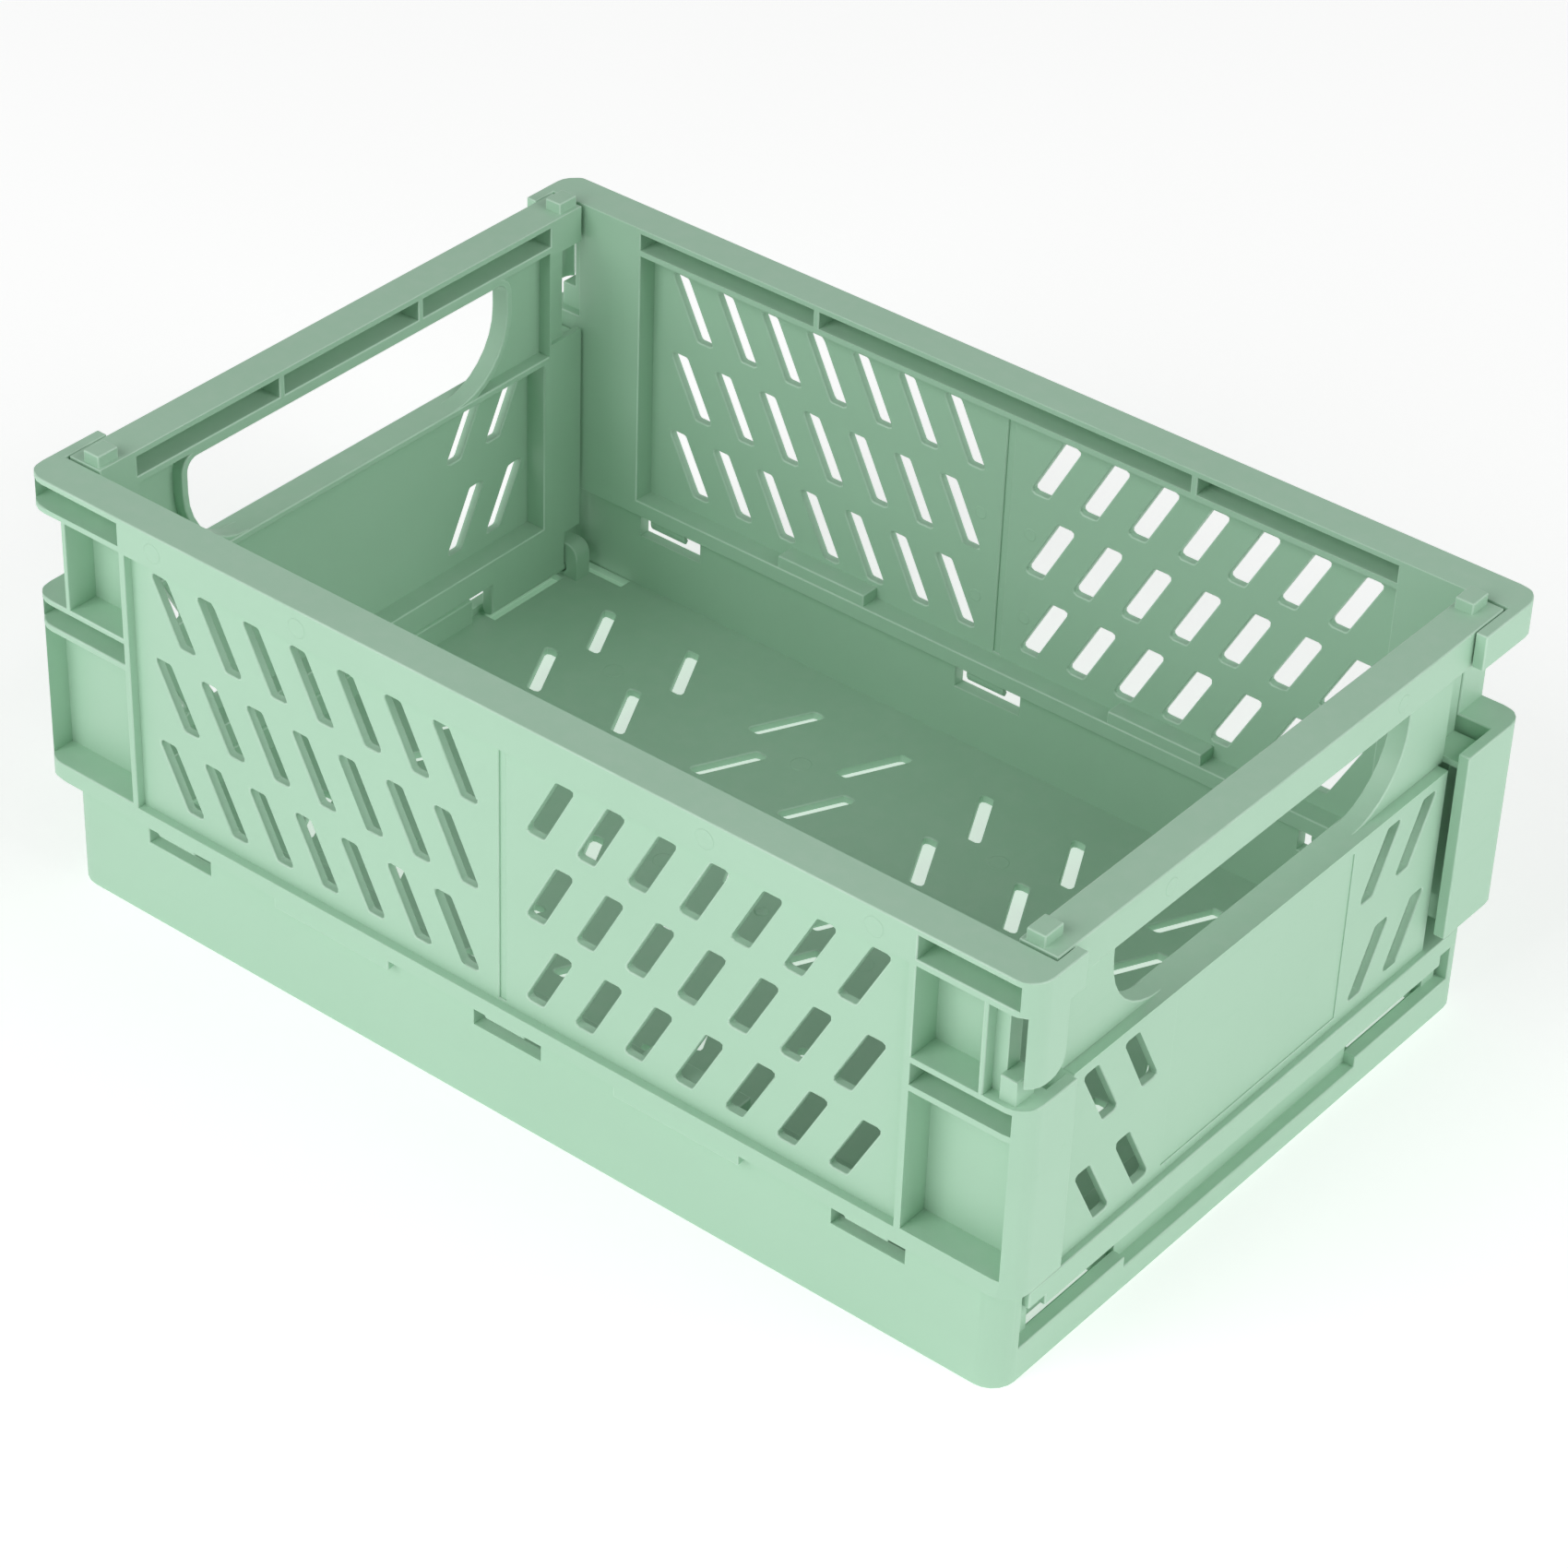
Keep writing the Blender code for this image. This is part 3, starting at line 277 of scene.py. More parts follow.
class ShaderGroups:
    """The node groups that every finish shares, each built once."""

    def __init__(self) -> None:
        """Builds the groups."""
        self.grain = grain_group()
        self.flow = flow_group()
        # The group that paints rounded edges paler: a painted highlight plus patchy wear.
        self.edge = painted_edge_group()
        self.scuffs = scuff_group()
        self.dust = dust_group()

    def place(self, tree: bpy.types.NodeTree, group: bpy.types.NodeTree, **values: float) -> object:
        """Places a group in a material and sets its inputs.

        Args:
            tree: the material's node tree.
            group: the group to place.
            values: input values, with spaces in their names written as underscores.

        Returns:
            The group node's first output.
        """
        node = tree.nodes.new("ShaderNodeGroup")
        node.node_tree = group
        for name, value in values.items():
            node.inputs[name.replace("_", " ")].default_value = value
        return node.outputs[0]


# ---------------------------------------------------------------- finishes


@dataclass(frozen=True)
class MouldedFinish:
    """Satin polypropylene from a spark-eroded mould, its rounded edges painted paler as a painted
    highlight with patchy wear.
    """

    name: str
    colour: Colour
    deep_colour: Colour
    # Paler colour painted on rounded edges: a painted highlight plus patchy wear.
    edge_highlight_and_wear_colour: Colour
    refraction: float = 1.49
    specular: float = 0.42
    roughness: float = 0.46
    scuff_roughness: float = 0.12
    flow_roughness: float = -0.05
    grain_depth: float = 0.018 * MM
    grain_strength: float = 0.8
    edge_amount: float = 0.55
    dust_amount: float = 0.05
    dust_colour: Colour = (0.80, 0.82, 0.78)

    def material(self, groups: ShaderGroups) -> bpy.types.Material:
        """Builds the material.

        Args:
            groups: the shared node groups.

        Returns:
            The finished material.
        """
        made = bpy.data.materials.new(self.name)
        made.use_nodes = True
        tree = made.node_tree
        shader = tree.nodes["Principled BSDF"]
        shader.inputs["IOR"].default_value = self.refraction
        shader.inputs["Specular IOR Level"].default_value = self.specular
        drift = groups.place(tree, groups.flow)
        body = mix_colours(tree, drift, self.colour, self.deep_colour)
        # Rounded edges painted paler: a painted highlight along every edge plus patchy wear.
        edge_highlight_and_wear = groups.place(tree, groups.edge, Amount=self.edge_amount)
        paler = mix_colours(tree, edge_highlight_and_wear, body, self.edge_highlight_and_wear_colour)
        dust = groups.place(tree, groups.dust, Amount=self.dust_amount)
        dusty = mix_colours(tree, dust, paler, self.dust_colour)
        tree.links.new(dusty, shader.inputs["Base Color"])
        scuffs = groups.place(tree, groups.scuffs)
        scuffed = maths(tree, "MULTIPLY", scuffs, self.scuff_roughness)
        rough = maths(tree, "ADD", self.roughness, scuffed)
        rough = maths(tree, "ADD", rough, maths(tree, "MULTIPLY", drift, self.flow_roughness))
        tree.links.new(rough, shader.inputs["Roughness"])
        bump = tree.nodes.new("ShaderNodeBump")
        bump.inputs["Distance"].default_value = self.grain_depth
        bump.inputs["Strength"].default_value = self.grain_strength
        tree.links.new(groups.place(tree, groups.grain), bump.inputs["Height"])
        tree.links.new(bump.outputs["Normal"], shader.inputs["Normal"])
        return made


TRAY_FINISH = MouldedFinish(
    "tray_polypropylene",
    colour=(0.425, 0.655, 0.490),
    deep_colour=(0.400, 0.628, 0.462),
    edge_highlight_and_wear_colour=(0.60, 0.80, 0.66),
)
SIDE_FINISH = MouldedFinish(
    "side_polypropylene",
    colour=(0.430, 0.662, 0.496),
    deep_colour=(0.406, 0.636, 0.470),
    edge_highlight_and_wear_colour=(0.62, 0.82, 0.68),
)
END_FINISH = MouldedFinish(
    "end_polypropylene",
    colour=(0.422, 0.652, 0.486),
    deep_colour=(0.398, 0.626, 0.460),
    edge_highlight_and_wear_colour=(0.61, 0.81, 0.67),
)


# ---------------------------------------------------------------- surfaces


def capped_faces(rows: int, around: int) -> list[list[int]]:
    """The faces of a surface of revolution: the quads of its grid and a fan to each pole.

    Point p of row r has index r times around plus p. The pole of the first row comes straight after
    the grid, and the pole of the last row comes after that.

    Args:
        rows: points along the profile.
        around: points in each row, which closes on itself.

    Returns:
        The faces as lists of indices.
    """
    row, here = np.meshgrid(np.arange(rows - 1), np.arange(around), indexing="ij")
    after = (here + 1) % around
    start, following = row * around, (row + 1) * around
    corners = (start + here, start + after, following + after, following + here)
    quads = np.stack([corner.ravel() for corner in corners], axis=1).tolist()
    here, after = here[0], after[0]
    first_pole = np.full_like(here, rows * around)
    last = (rows - 1) * around
    top = np.stack([first_pole, here, after], axis=1).tolist()
    bottom = np.stack([first_pole + 1, last + after, last + here], axis=1).tolist()
    return quads + top + bottom


def mesh_from(name: str, points: np.ndarray, faces: list[list[int]]) -> bpy.types.Mesh:
    """Makes a mesh from arrays and turns its faces outwards.

    Args:
        name: the mesh's name.
        points: one row of three coordinates for each point.
        faces: the corner indices of each face.

    Returns:
        The mesh.
    """
    mesh = bpy.data.meshes.new(name)
    mesh.from_pydata(points.tolist(), [], faces)
    outward = bmesh.new()
    outward.from_mesh(mesh)
    bmesh.ops.remove_doubles(outward, verts=outward.verts, dist=MERGE_DISTANCE)
    bmesh.ops.recalc_face_normals(outward, faces=outward.faces)
    outward.to_mesh(mesh)
    outward.free()
    mesh.shade_smooth()
    return mesh


@dataclass(frozen=True)
class WitnessRing:
    """The faint ring that an ejector pin leaves: a low bead around a slightly raised disc."""

    radius: float = 1.9 * MM
    bead: float = 0.30 * MM
    height: float = 0.07 * MM
    disc_share: float = 0.35
    hub_share: float = 0.35
    sink: float = 0.05 * MM
    around: int = 32
    profile_steps: int = 12

    def surface(self) -> tuple[np.ndarray, list[list[int]]]:
        """Works out the ring as a surface of revolution about Z.

        The height at each radius is the larger of a squared cosine bump centred on the ring's radius
        and, inside that radius, the disc's share of the bead's height. The rim then drops straight
        below the face that the ring sits on.

        Returns:
            The points, the last two being the poles, and the faces as lists of indices.
        """
        outer = self.radius + self.bead
        reach = np.linspace(self.hub_share * self.radius, outer, self.profile_steps)
        bump = np.cos(np.clip((reach - self.radius) / self.bead, -1, 1) * math.pi / 2) ** 2
        inside = np.where(reach < self.radius, self.disc_share, 0.0)
        height = self.height * np.maximum(bump, inside)
        reach = np.append(reach, outer)
        height = np.append(height, -self.sink)
        angle = np.linspace(0, 2 * math.pi, self.around, endpoint=False)
        r, a = np.meshgrid(reach, angle, indexing="ij")
        z = np.repeat(height[:, None], self.around, axis=1)
        points = np.stack([r * np.cos(a), r * np.sin(a), z], axis=2).reshape(-1, 3)
        poles = np.array([[0, 0, self.disc_share * self.height], [0, 0, -self.sink]])
        return np.vstack([points, poles]), capped_faces(len(reach), self.around)


@dataclass(frozen=True)
class GateStub:
    """The stub left where the sprue broke away: a low dome with a ragged, pitted crown."""

    radius: float = 1.6 * MM
    height: float = 0.45 * MM
    sink: float = 0.05 * MM
    hub_share: float = 0.12
    raggedness: float = 0.1
    around: int = 28
    rings: int = 9
    seed: int = 7

    def surface(self) -> tuple[np.ndarray, list[list[int]]]:
        """Works out the stub about Z.

        The height is the dome's, the square root of one less the squared share of the radius, with
        seeded unevenness that fades to nothing at the rim, and the rim drops below the face.

        Returns:
            The points and the faces as lists of indices.
        """
        ragged = np.random.default_rng(self.seed)
        share = np.linspace(self.hub_share, 1.0, self.rings)
        angle = np.linspace(0, 2 * math.pi, self.around, endpoint=False)
        s, a = np.meshgrid(share, angle, indexing="ij")
        uneven = self.raggedness * ragged.standard_normal(s.shape) * (1 - s**2)
        z = self.height * (np.sqrt(np.clip(1 - s**2, 0, 1)) + uneven)
        r = self.radius * s
        points = np.stack([r * np.cos(a), r * np.sin(a), z], axis=2).reshape(-1, 3)
        skirt = points[-self.around :].copy()
        skirt[:, 2] = -self.sink
        poles = np.array([[0, 0, self.height], [0, 0, -self.sink]])
        return np.vstack([points, skirt, poles]), capped_faces(self.rings + 1, self.around)


# ---------------------------------------------------------------- mouldings


@dataclass
class Moulding:
    """One plastic moulding: the welded copy of a CAD node with its edges rounded."""

    node: str
    body: str
    slot: str
    finish: MouldedFinish
    edge_radius: float = 0.28 * MM
    edge_segments: int = 2
    weld: float = 0.002 * MM
    flat_degrees: float = 0.4
    edge_degrees: float = 50.0
    smooth_degrees: float = 47.0
    longest_slide: float = 1.2 * MM
    corner_share: float = 0.48
    neighbour_share: float = 0.45
    widest_turn: float = 3.0
    least_slope: float = 0.05
    flat_face_weight: int = 80
    smallest_fold: float = 1e-11
    mend_reaches: tuple[float, ...] = (0.5 * MM, 0.5 * MM, 1.0 * MM, 2.0 * MM, 3.5 * MM, 5.0 * MM)
    material: bpy.types.Material | None = field(default=None, repr=False)

    def build(self, groups: ShaderGroups) -> None:
        """Builds the moulding and its marks, and hides the CAD node that it stands for.

        Args:
            groups: the shared node groups.
        """
        self.material = self.finish.material(groups)
        shell = self.rounded_shell()
        self.settle(shell)
        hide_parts(self.node)
        for mark in self.marks():
            self.settle(mark)

    def settle(self, piece: bpy.types.Object) -> None:
        """Dresses a piece and fixes it to the moulding's body."""
        piece.data.materials.clear()
        piece.data.materials.append(self.material)
        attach(piece, self.body)
        LOG.info("%s: %d faces on %s", piece.name, len(piece.data.polygons), self.body)

    def marks(self) -> list[bpy.types.Object]:
        """The moulding's small marks, of which a plain one has none."""
        return []

    def rounded_shell(self) -> bpy.types.Object:
        """Copies the CAD mesh, welds it and rounds its outward edges.

        Returns:
            The new object, at the origin, with the edge attribute on its corners.
        """
        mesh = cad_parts[self.node].data.copy()
        mesh.name = self.node + "_moulding"
        welded = bmesh.new()
        welded.from_mesh(mesh)
        bmesh.ops.remove_doubles(welded, verts=welded.verts, dist=self.weld)
        bmesh.ops.dissolve_limit(
            welded,
            angle_limit=math.radians(self.flat_degrees),
            verts=welded.verts,
            edges=welded.edges,
            use_dissolve_boundaries=False,
        )
        self.weigh_edges(welded)
        welded.to_mesh(mesh)
        welded.free()
        for name in ("custom_normal", "sharp_face", "sharp_edge"):
            if name in mesh.attributes:
                mesh.attributes.remove(mesh.attributes[name])
        piece = bpy.data.objects.new(mesh.name, mesh)
        bpy.context.scene.collection.objects.link(piece)
        self.apply_rounding(piece)
        return piece

    def weigh_edges(self, welded: bmesh.types.BMesh) -> None:
        """Gives each sharp outward edge the share of the radius that its surroundings have room for.

        Two rounded edges that meet on a face take the edge's length divided by the tangent of half
        their turn. A plain edge lets its neighbour run along it for almost half its length.

        Args:
            welded: the mesh, whose bevel weights are filled in.
        """
        layer = welded.edges.layers.float.new("bevel_weight_edge")
        limit = math.radians(self.edge_degrees)
        chosen = {
            edge
            for edge in welded.edges
            if len(edge.link_faces) == 2 and edge.is_convex and edge.calc_face_angle(0.0) > limit
        }
        for edge in chosen:
            room = self.edge_radius
            for face in edge.link_faces:
                for end in edge.verts:
                    room = min(room, self.room_along(edge, end, face, chosen))
            edge[layer] = max(0.0, min(1.0, room / self.edge_radius))

    def room_along(self, edge: object, end: object, face: object, chosen: set) -> float:
        """The widest rounding that one corner of a face has room for.

        Args:
            edge: the edge being rounded.
            end: its vertex at this corner.
            face: the face that the corner is on.
            chosen: every edge that is rounded.

        Returns:
            The room in metres.
        """
        other = next(side for side in face.edges if side is not edge and end in side.verts)
        forward = (end.co - edge.other_vert(end).co).normalized()
        away = (other.other_vert(end).co - end.co).normalized()
        length = other.calc_length()
        turn = forward.angle(away, 0.0)
        if other in chosen:
            slope = math.tan(min(turn, self.widest_turn) / 2)
            return self.corner_share * length / max(slope, self.least_slope)
        slide = min(self.neighbour_share * length, self.longest_slide)
        return slide * max(math.sin(turn), self.least_slope)

    def apply_rounding(self, piece: bpy.types.Object) -> None:
        """Applies the edge rounding, then marks its faces and sets the shading.

        Where a face folds over itself, the edges near the fold go back to being sharp, and the
        rounding is done again, over a wider reach each time.

        Args:
            piece: the welded object.
        """
        for name in ("face", "edge"):
            piece.data.materials.append(bpy.data.materials.new(f"{self.node}_{name}_mark"))
        bevel = piece.modifiers.new("round_edges", "BEVEL")
        bevel.limit_method = "WEIGHT"
        bevel.width = self.edge_radius
        bevel.segments = self.edge_segments
        bevel.use_clamp_overlap = False
        bevel.material = 1
        for reach in self.mend_reaches:
            rounded = self.evaluated(piece)
            folds = self.folded_points(rounded)
            if not len(folds):
                break
            LOG.info("%s: %d folded corners, mended within %.1f mm", self.node, len(folds), reach / MM)
            self.sharpen_near(piece.data, folds, reach)
            bpy.data.meshes.remove(rounded)
        else:
            rounded = self.evaluated(piece)
        piece.modifiers.clear()
        old = piece.data
        rounded.name = piece.name
        piece.data = rounded
        bpy.data.meshes.remove(old)
        self.set_shading(rounded)
        self.mark_edges(rounded)
        shading = piece.modifiers.new("flat_faces", "WEIGHTED_NORMAL")
        shading.keep_sharp = True
        shading.weight = self.flat_face_weight

    def set_shading(self, mesh: bpy.types.Mesh) -> None:
        """Shades round stretches smooth and keeps corners and the borders of the rounding crisp.

        Args:
            mesh: the rounded mesh, whose rounding faces have material index 1.
        """
        mesh.shade_smooth()
        shaded = bmesh.new()
        shaded.from_mesh(mesh)
        limit = math.radians(self.smooth_degrees)
        for edge in shaded.edges:
            border = len({face.material_index for face in edge.link_faces}) > 1
            edge.smooth = not (border or edge.calc_face_angle(math.pi) > limit)
        shaded.to_mesh(mesh)
        shaded.free()

    @staticmethod
    def evaluated(piece: bpy.types.Object) -> bpy.types.Mesh:
        """The piece's mesh with its modifiers applied, as a mesh of its own."""
        piece.data.update()
        piece.update_tag()
        depsgraph = bpy.context.evaluated_depsgraph_get()
        depsgraph.update()
        return bpy.data.meshes.new_from_object(piece.evaluated_get(depsgraph))

    def folded_points(self, mesh: bpy.types.Mesh) -> np.ndarray:
        """Finds the corners of triangles that face against the polygon that they belong to.

        Args:
            mesh: the rounded mesh.

        Returns:
            The corners' places, one row each.
        """
        count = len(mesh.loop_triangles)
        corners = np.zeros(count * 3, dtype=np.int32)
        owner = np.zeros(count, dtype=np.int32)
        mesh.loop_triangles.foreach_get("vertices", corners)
        mesh.loop_triangles.foreach_get("polygon_index", owner)
        places = np.zeros(len(mesh.vertices) * 3)
        mesh.vertices.foreach_get("co", places)
        facing = np.zeros(len(mesh.polygons) * 3)
        mesh.polygons.foreach_get("normal", facing)
        spots = places.reshape(-1, 3)[corners.reshape(-1, 3)]
        cross = np.cross(spots[:, 1] - spots[:, 0], spots[:, 2] - spots[:, 0])
        area = np.linalg.norm(cross, axis=1) / 2
        against = np.einsum("ij,ij->i", cross, facing.reshape(-1, 3)[owner]) < 0
        return spots[against & (area > self.smallest_fold)].reshape(-1, 3)

    @staticmethod
    def sharpen_near(mesh: bpy.types.Mesh, points: np.ndarray, reach: float) -> None:
        """Takes the rounding off every edge that passes within reach of one of the points.

        The distance is from each point to the nearest place on each edge's segment.

        Args:
            mesh: the welded mesh with its bevel weights.
            points: the places, one row each.
            reach: the distance in metres.
        """
        places = np.zeros(len(mesh.vertices) * 3)
        mesh.vertices.foreach_get("co", places)
        ends = np.zeros(len(mesh.edges) * 2, dtype=np.int32)
        mesh.edges.foreach_get("vertices", ends)
        start, stop = places.reshape(-1, 3)[ends.reshape(-1, 2)].transpose(1, 0, 2)
        along = stop - start
        no_length = 1e-18
        squared_length = np.maximum(np.einsum("ij,ij->i", along, along), no_length)
        weights = mesh.attributes["bevel_weight_edge"].data
        values = np.zeros(len(mesh.edges), dtype=np.float32)
        weights.foreach_get("value", values)
        travel = np.einsum("pej,ej->pe", points[:, None] - start, along)
        share = np.clip(travel / squared_length, 0, 1)
        gap = np.linalg.norm(points[:, None] - start - share[:, :, None] * along, axis=2)
        values[gap.min(axis=0) < reach] = 0.0
        weights.foreach_set("value", values)

    @staticmethod
    def mark_edges(mesh: bpy.types.Mesh) -> None:
        """Writes 1 on the corners of rounding faces and 0 elsewhere, then clears their material index.

        Args:
            mesh: the rounded mesh.
        """
        index = np.zeros(len(mesh.polygons), dtype=np.int32)
        totals = np.zeros(len(mesh.polygons), dtype=np.int32)
        mesh.polygons.foreach_get("material_index", index)
        mesh.polygons.foreach_get("loop_total", totals)
        attribute = mesh.attributes.new(EDGE_ATTRIBUTE, "FLOAT", "CORNER")
        attribute.data.foreach_set("value", np.repeat(index.astype(np.float32), totals))
        mesh.polygons.foreach_set("material_index", np.zeros_like(index))

    def detail(self, name: str, shapes: list[tuple[object, Matrix]]) -> bpy.types.Object:
        """Joins copies of small shapes into one piece.

        Args:
            name: the piece's name.
            shapes: each shape, with the matrix that places it on the crate.

        Returns:
            The piece, at the origin, with its place in its mesh.
        """
        points, faces, count = [], [], 0
        for shape, matrix in shapes:
            own_points, own_faces = shape.surface()
            turn = np.array(matrix.to_3x3())
            points.append(own_points @ turn.T + np.array(matrix.translation))
            faces.extend([[corner + count for corner in face] for face in own_faces])
            count += len(own_points)
        mesh = mesh_from(name, np.vstack(points), faces)
        piece = bpy.data.objects.new(name, mesh)
        bpy.context.scene.collection.objects.link(piece)
        return piece


@dataclass
class WallMoulding(Moulding):
    """A folding wall, described along x, inwards along y and up along z from its outer face."""

    wall: Wall = Wall.FRONT
    nub_height: float = 2.5 * MM

    def __post_init__(self) -> None:
        """Reads the place of the wall's outer face and the height of its rim from the frame."""
        low, high = (Vector(corner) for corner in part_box(self.node))
        self.outer = {
            Wall.FRONT: -low.y,
            Wall.REAR: high.y,
            Wall.RIGHT: high.x,
            Wall.LEFT: -low.x,
        }[self.wall]
        self.top = Vector(CAD_BOX[1]).z - self.nub_height

    def place(self, x: float, y: float, z: float, facing: Matrix) -> Matrix:
        """Carries a shape from the panel's own frame to the crate.

        Args:
            x: the place along the wall.
            y: the depth inwards from the outer face.
            z: the height.
            facing: how the shape is turned in the panel's frame.

        Returns:
            The matrix that places the shape.
        """
        spin = Matrix.Rotation(self.wall.value, 4, "Z")
        return spin @ Matrix.Translation((x, y - self.outer, z)) @ facing.to_4x4()


FACING_OUT = Matrix.Rotation(math.pi / 2, 3, "X")
FACING_IN = Matrix.Rotation(-math.pi / 2, 3, "X")


@dataclass
class SideMoulding(WallMoulding):
    """A long side panel."""

    rim_ring_height: float = 4.2 * MM
    rim_ring_places: tuple[float, ...] = (-89.4 * MM, -50.6 * MM, 50.6 * MM, 89.4 * MM)
    web_ring_place: float = 6.5 * MM
    web_ring_heights: tuple[float, ...] = (43 * MM, 64 * MM)
    web_inner_depth: float = 4.0 * MM

    def marks(self) -> list[bpy.types.Object]:
        """Ejector rings on the rim's outer band and beside the middle rib inside."""
        ring = WitnessRing()
        small = WitnessRing(radius=1.3 * MM, bead=0.22 * MM, height=0.05 * MM)
        rim = self.top - self.rim_ring_height
        outside = [(ring, self.place(x, 0.0, rim, FACING_OUT)) for x in self.rim_ring_places]
        inside = [
            (small, self.place(side * self.web_ring_place, self.web_inner_depth, z, FACING_IN))
            for side in (-1, 1)
            for z in self.web_ring_heights
        ]
        return [
            self.detail(self.node + "_rim_witness_rings", outside),
            self.detail(self.node + "_web_witness_rings", inside),
        ]


@dataclass
class EndMoulding(WallMoulding):
    """A short end panel with the hand hole."""

    rim_ring_height: float = 4.2 * MM
    rim_ring_places: tuple[float, ...] = (-38 * MM, 38 * MM)

    def marks(self) -> list[bpy.types.Object]:
        """Ejector rings on the rim's outer band."""
        ring = WitnessRing(radius=1.6 * MM)
        rim = self.top - self.rim_ring_height
        outside = [(ring, self.place(x, 0.0, rim, FACING_OUT)) for x in self.rim_ring_places]
        return [self.detail(self.node + "_rim_witness_rings", outside)]


@dataclass
class TrayMoulding(Moulding):
    """The tray that the four walls fold onto."""

    floor_top: float = 6.0 * MM
    ring_columns: tuple[float, ...] = (-80.25 * MM, -26.75 * MM, 26.75 * MM, 80.25 * MM)
    ring_rows: tuple[float, ...] = (-46.2 * MM, 0.0, 46.2 * MM)

    def marks(self) -> list[bpy.types.Object]:
        """Ejector rings between the floor's slots and the gate's stub in the middle."""
        ring = WitnessRing(radius=2.1 * MM, height=0.06 * MM)
        floor = [
            (ring, Matrix.Translation((x, y, self.floor_top)))
            for x in self.ring_columns
            for y in self.ring_rows
        ]
        stub = [(GateStub(), Matrix.Translation((0, 0, self.floor_top)))]
        return [self.detail("floor_witness_rings", floor), self.detail("gate_stub", stub)]


# ---------------------------------------------------------------- studio


@dataclass(frozen=True)
class Softbox:
    """A square lamp that faces the crate: where it hangs, its size and its power in watts."""

    name: str
    azimuth: float
    elevation: float
    away: float
    size: float
    power: float


FRONT_SOFTBOX = Softbox("front_softbox", azimuth=-15.0, elevation=34.0, away=1.9, size=1.2, power=14.8)
END_SOFTBOX = Softbox("end_softbox", azimuth=102.0, elevation=34.0, away=2.0, size=1.2, power=13.0)


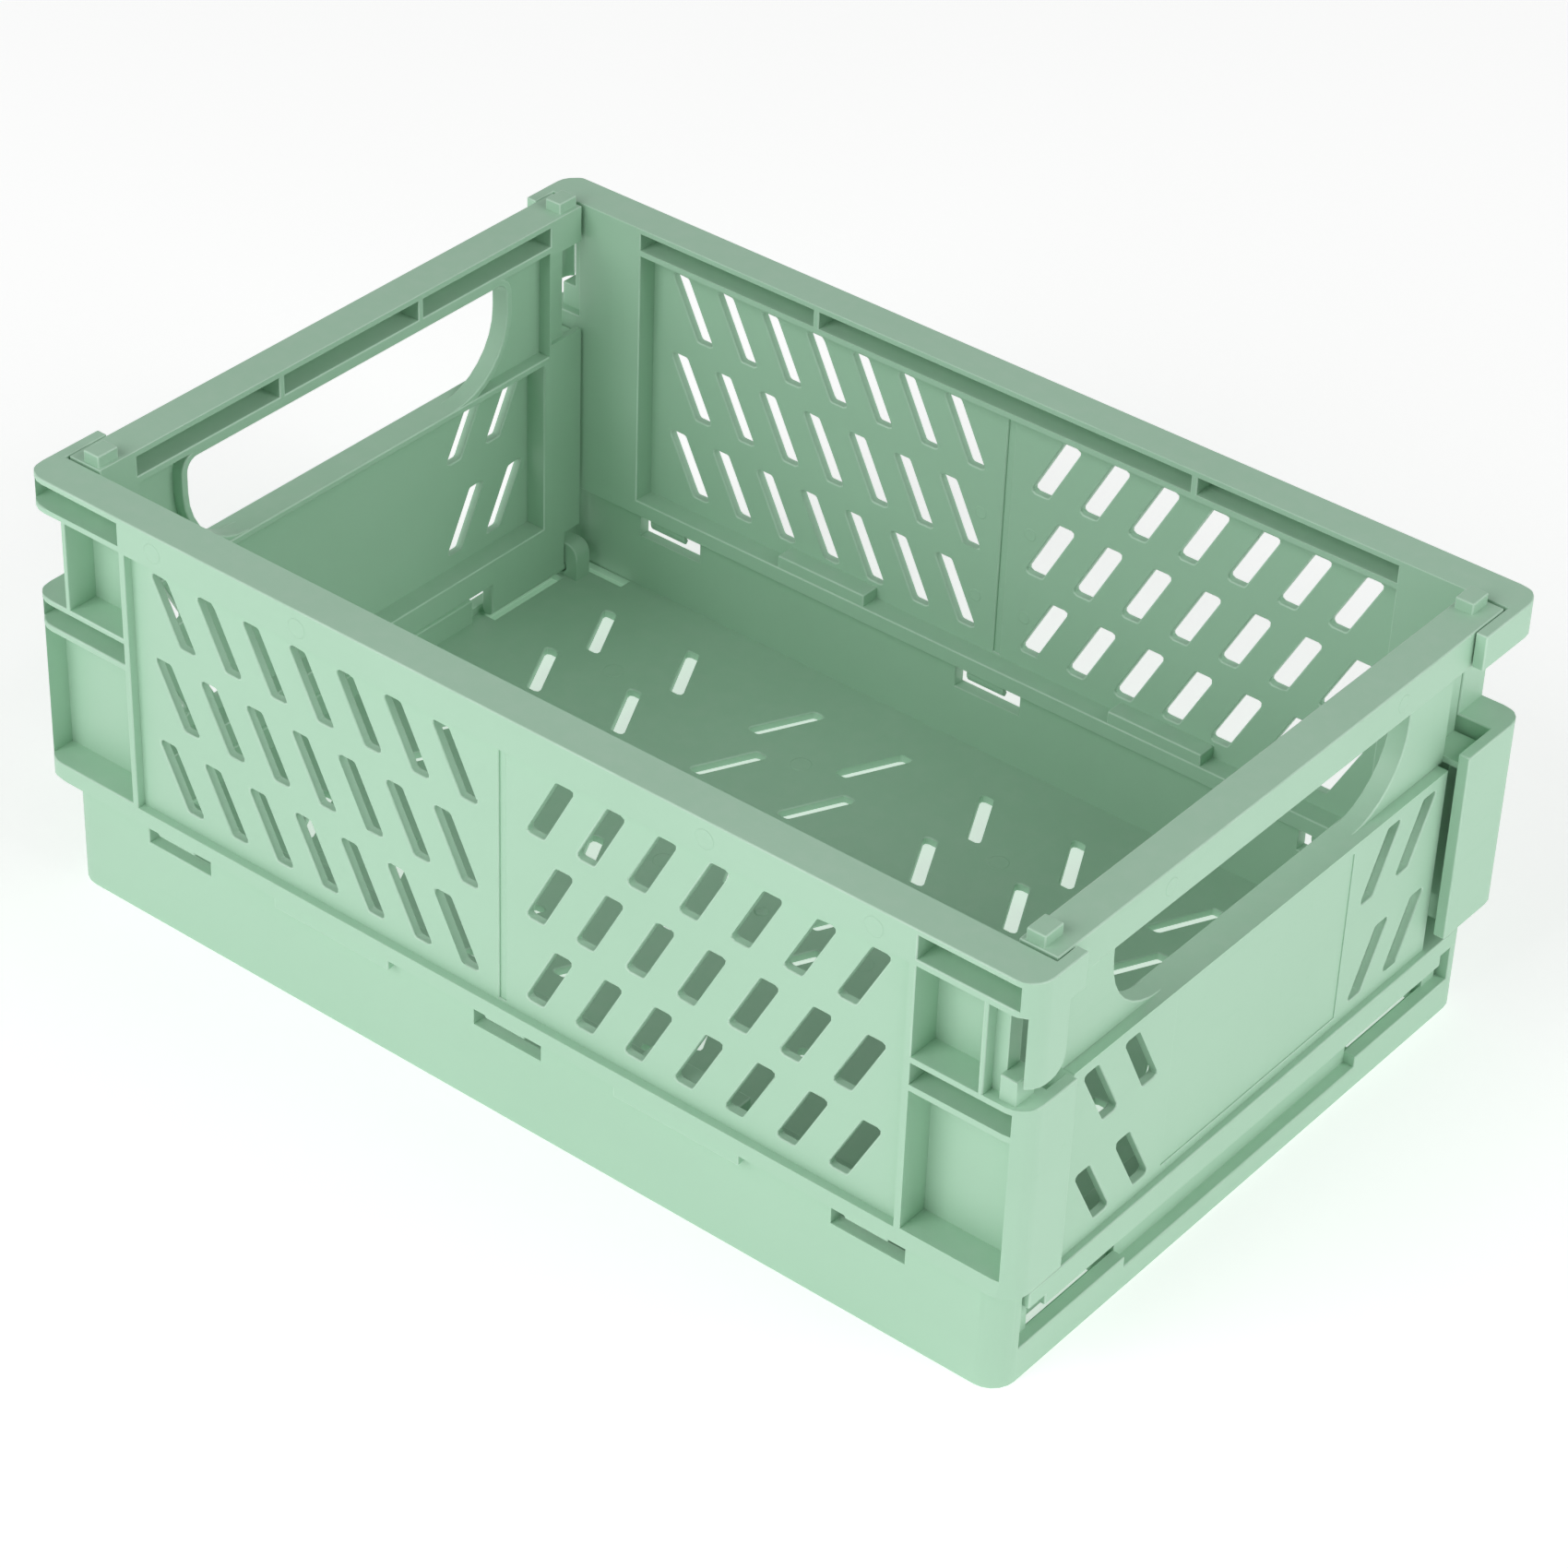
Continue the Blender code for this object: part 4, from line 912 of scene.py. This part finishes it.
@dataclass
class Studio:
    """A pale floor, a dim room with two softboxes and the camera."""

    floor_colour: Colour = (0.86, 0.865, 0.86)
    floor_shade: float = 0.98
    floor_shade_scale: float = 3.0
    floor_roughness: float = 0.9
    floor_specular: float = 0.2
    floor_glow: float = 0.44
    floor_size: float = 8.0
    floor_cells: int = 8
    horizon_strength: float = 0.68
    zenith_strength: float = 0.15
    softboxes: tuple[Softbox, ...] = (FRONT_SOFTBOX, END_SOFTBOX)
    azimuth: float = 37.67
    elevation: float = 35.97
    roll: float = 2.31
    distance: float = 0.939
    aim: Triple = (0.0122, -0.0100, 0.0501)
    lens: float = 108.1
    sensor: float = 36.0
    nearest: float = 0.01
    furthest: float = 50.0

    def build(self) -> None:
        """Builds the floor, the lights and the camera."""
        self.build_floor()
        self.build_sky()
        for softbox in self.softboxes:
            self.build_lamp(softbox)
        self.build_camera()

    @staticmethod
    def direction(azimuth: float, elevation: float) -> Vector:
        """The unit vector from the crate towards a place in the studio.

        Args:
            azimuth: degrees round Z, from -Y towards +X.
            elevation: degrees above the floor.

        Returns:
            The unit vector.
        """
        around, up = math.radians(azimuth), math.radians(elevation)
        return Vector((math.sin(around) * math.cos(up), -math.cos(around) * math.cos(up), math.sin(up)))

    def build_floor(self) -> None:
        """Lays the floor: a grid whose colour drifts very slightly, as painted board does."""
        cells, points_across = self.floor_cells, self.floor_cells + 1
        side = np.linspace(-0.5, 0.5, points_across) * self.floor_size
        x, y = np.meshgrid(side, side, indexing="ij")
        points = np.stack([x, y, np.zeros_like(x)], axis=2).reshape(-1, 3)
        row, column = np.meshgrid(np.arange(cells), np.arange(cells), indexing="ij")
        start = (row * points_across + column).ravel()
        beyond = start + points_across
        faces = np.stack([start, beyond, beyond + 1, start + 1], axis=1)
        mesh = bpy.data.meshes.new("studio_floor")
        mesh.from_pydata(points.tolist(), [], faces.tolist())
        floor = bpy.data.objects.new("studio_floor", mesh)
        bpy.context.scene.collection.objects.link(floor)
        mesh.materials.append(self.floor_material())

    def floor_material(self) -> bpy.types.Material:
        """The floor's matt pale paint."""
        made = bpy.data.materials.new("pale_board")
        made.use_nodes = True
        tree = made.node_tree
        shader = tree.nodes["Principled BSDF"]
        shader.inputs["Roughness"].default_value = self.floor_roughness
        shader.inputs["Specular IOR Level"].default_value = self.floor_specular
        shader.inputs["Emission Color"].default_value = (1.0, 1.0, 1.0, 1.0)
        shader.inputs["Emission Strength"].default_value = self.floor_glow
        darker = tuple(self.floor_shade * part for part in self.floor_colour)
        drift = noise(tree, self.floor_shade_scale, detail=2.0)
        colour = mix_colours(tree, drift, self.floor_colour, darker)
        tree.links.new(colour, shader.inputs["Base Color"])
        return made

    def build_sky(self) -> None:
        """Lights the room with near-white that is dimmer overhead than along the walls."""
        world = bpy.data.worlds.new("studio_room")
        world.use_nodes = True
        tree = world.node_tree
        background = tree.nodes["Background"]
        background.inputs["Color"].default_value = (1.0, 1.0, 1.0, 1.0)
        towards = tree.nodes.new("ShaderNodeTexCoord")
        height = tree.nodes.new("ShaderNodeSeparateXYZ")
        dimming = tree.nodes.new("ShaderNodeMapRange")
        dimming.inputs["To Min"].default_value = self.horizon_strength
        dimming.inputs["To Max"].default_value = self.zenith_strength
        tree.links.new(towards.outputs["Generated"], height.inputs["Vector"])
        tree.links.new(height.outputs["Z"], dimming.inputs["Value"])
        tree.links.new(dimming.outputs["Result"], background.inputs["Strength"])
        bpy.context.scene.world = world

    def build_lamp(self, softbox: Softbox) -> None:
        """Hangs one softbox that faces the crate.

        Args:
            softbox: where it hangs and how strong it is.
        """
        lamp = bpy.data.lights.new(softbox.name, "AREA")
        lamp.shape = "SQUARE"
        lamp.size = softbox.size
        lamp.energy = softbox.power
        holder = bpy.data.objects.new(softbox.name, lamp)
        back = self.direction(softbox.azimuth, softbox.elevation)
        holder.location = Vector(self.aim) + back * softbox.away
        holder.rotation_euler = back.to_track_quat("Z", "Y").to_euler()
        bpy.context.scene.collection.objects.link(holder)

    def build_camera(self) -> None:
        """Stands the camera at its place, with its slight roll."""
        data = bpy.data.cameras.new("studio_camera")
        data.lens = self.lens
        data.sensor_width = self.sensor
        data.clip_start = self.nearest
        data.clip_end = self.furthest
        camera = bpy.data.objects.new("studio_camera", data)
        back = self.direction(self.azimuth, self.elevation)
        turn = math.radians(self.azimuth)
        right = Vector((math.cos(turn), math.sin(turn), 0.0))
        up = back.cross(right)
        roll = math.radians(self.roll)
        rolled_right = math.cos(roll) * right + math.sin(roll) * up
        rolled_up = back.cross(rolled_right)
        pose = Matrix((rolled_right, rolled_up, back)).transposed().to_4x4()
        pose.translation = Vector(self.aim) + back * self.distance
        camera.matrix_world = pose
        bpy.context.scene.collection.objects.link(camera)
        bpy.context.scene.camera = camera


# ---------------------------------------------------------------- whole


def main() -> None:
    """Builds the mouldings one after another, then the studio."""
    logging.basicConfig(level=logging.INFO, format="%(name)s %(message)s")
    groups = ShaderGroups()
    mouldings: list[Moulding] = [
        TrayMoulding("base_tray", "base", "tray", TRAY_FINISH),
        SideMoulding("front_side", "front_panel", "side_panel", SIDE_FINISH, wall=Wall.FRONT),
        SideMoulding("rear_side", "rear_panel", "side_panel", SIDE_FINISH, wall=Wall.REAR),
        EndMoulding("right_end", "right_panel", "end_panel", END_FINISH, wall=Wall.RIGHT),
        EndMoulding("left_end", "left_panel", "end_panel", END_FINISH, wall=Wall.LEFT),
    ]
    for moulding in mouldings:
        moulding.build(groups)
    Studio().build()
    bpy.context.scene.view_settings.view_transform = "Standard"


if __name__ == "__main__":
    main()
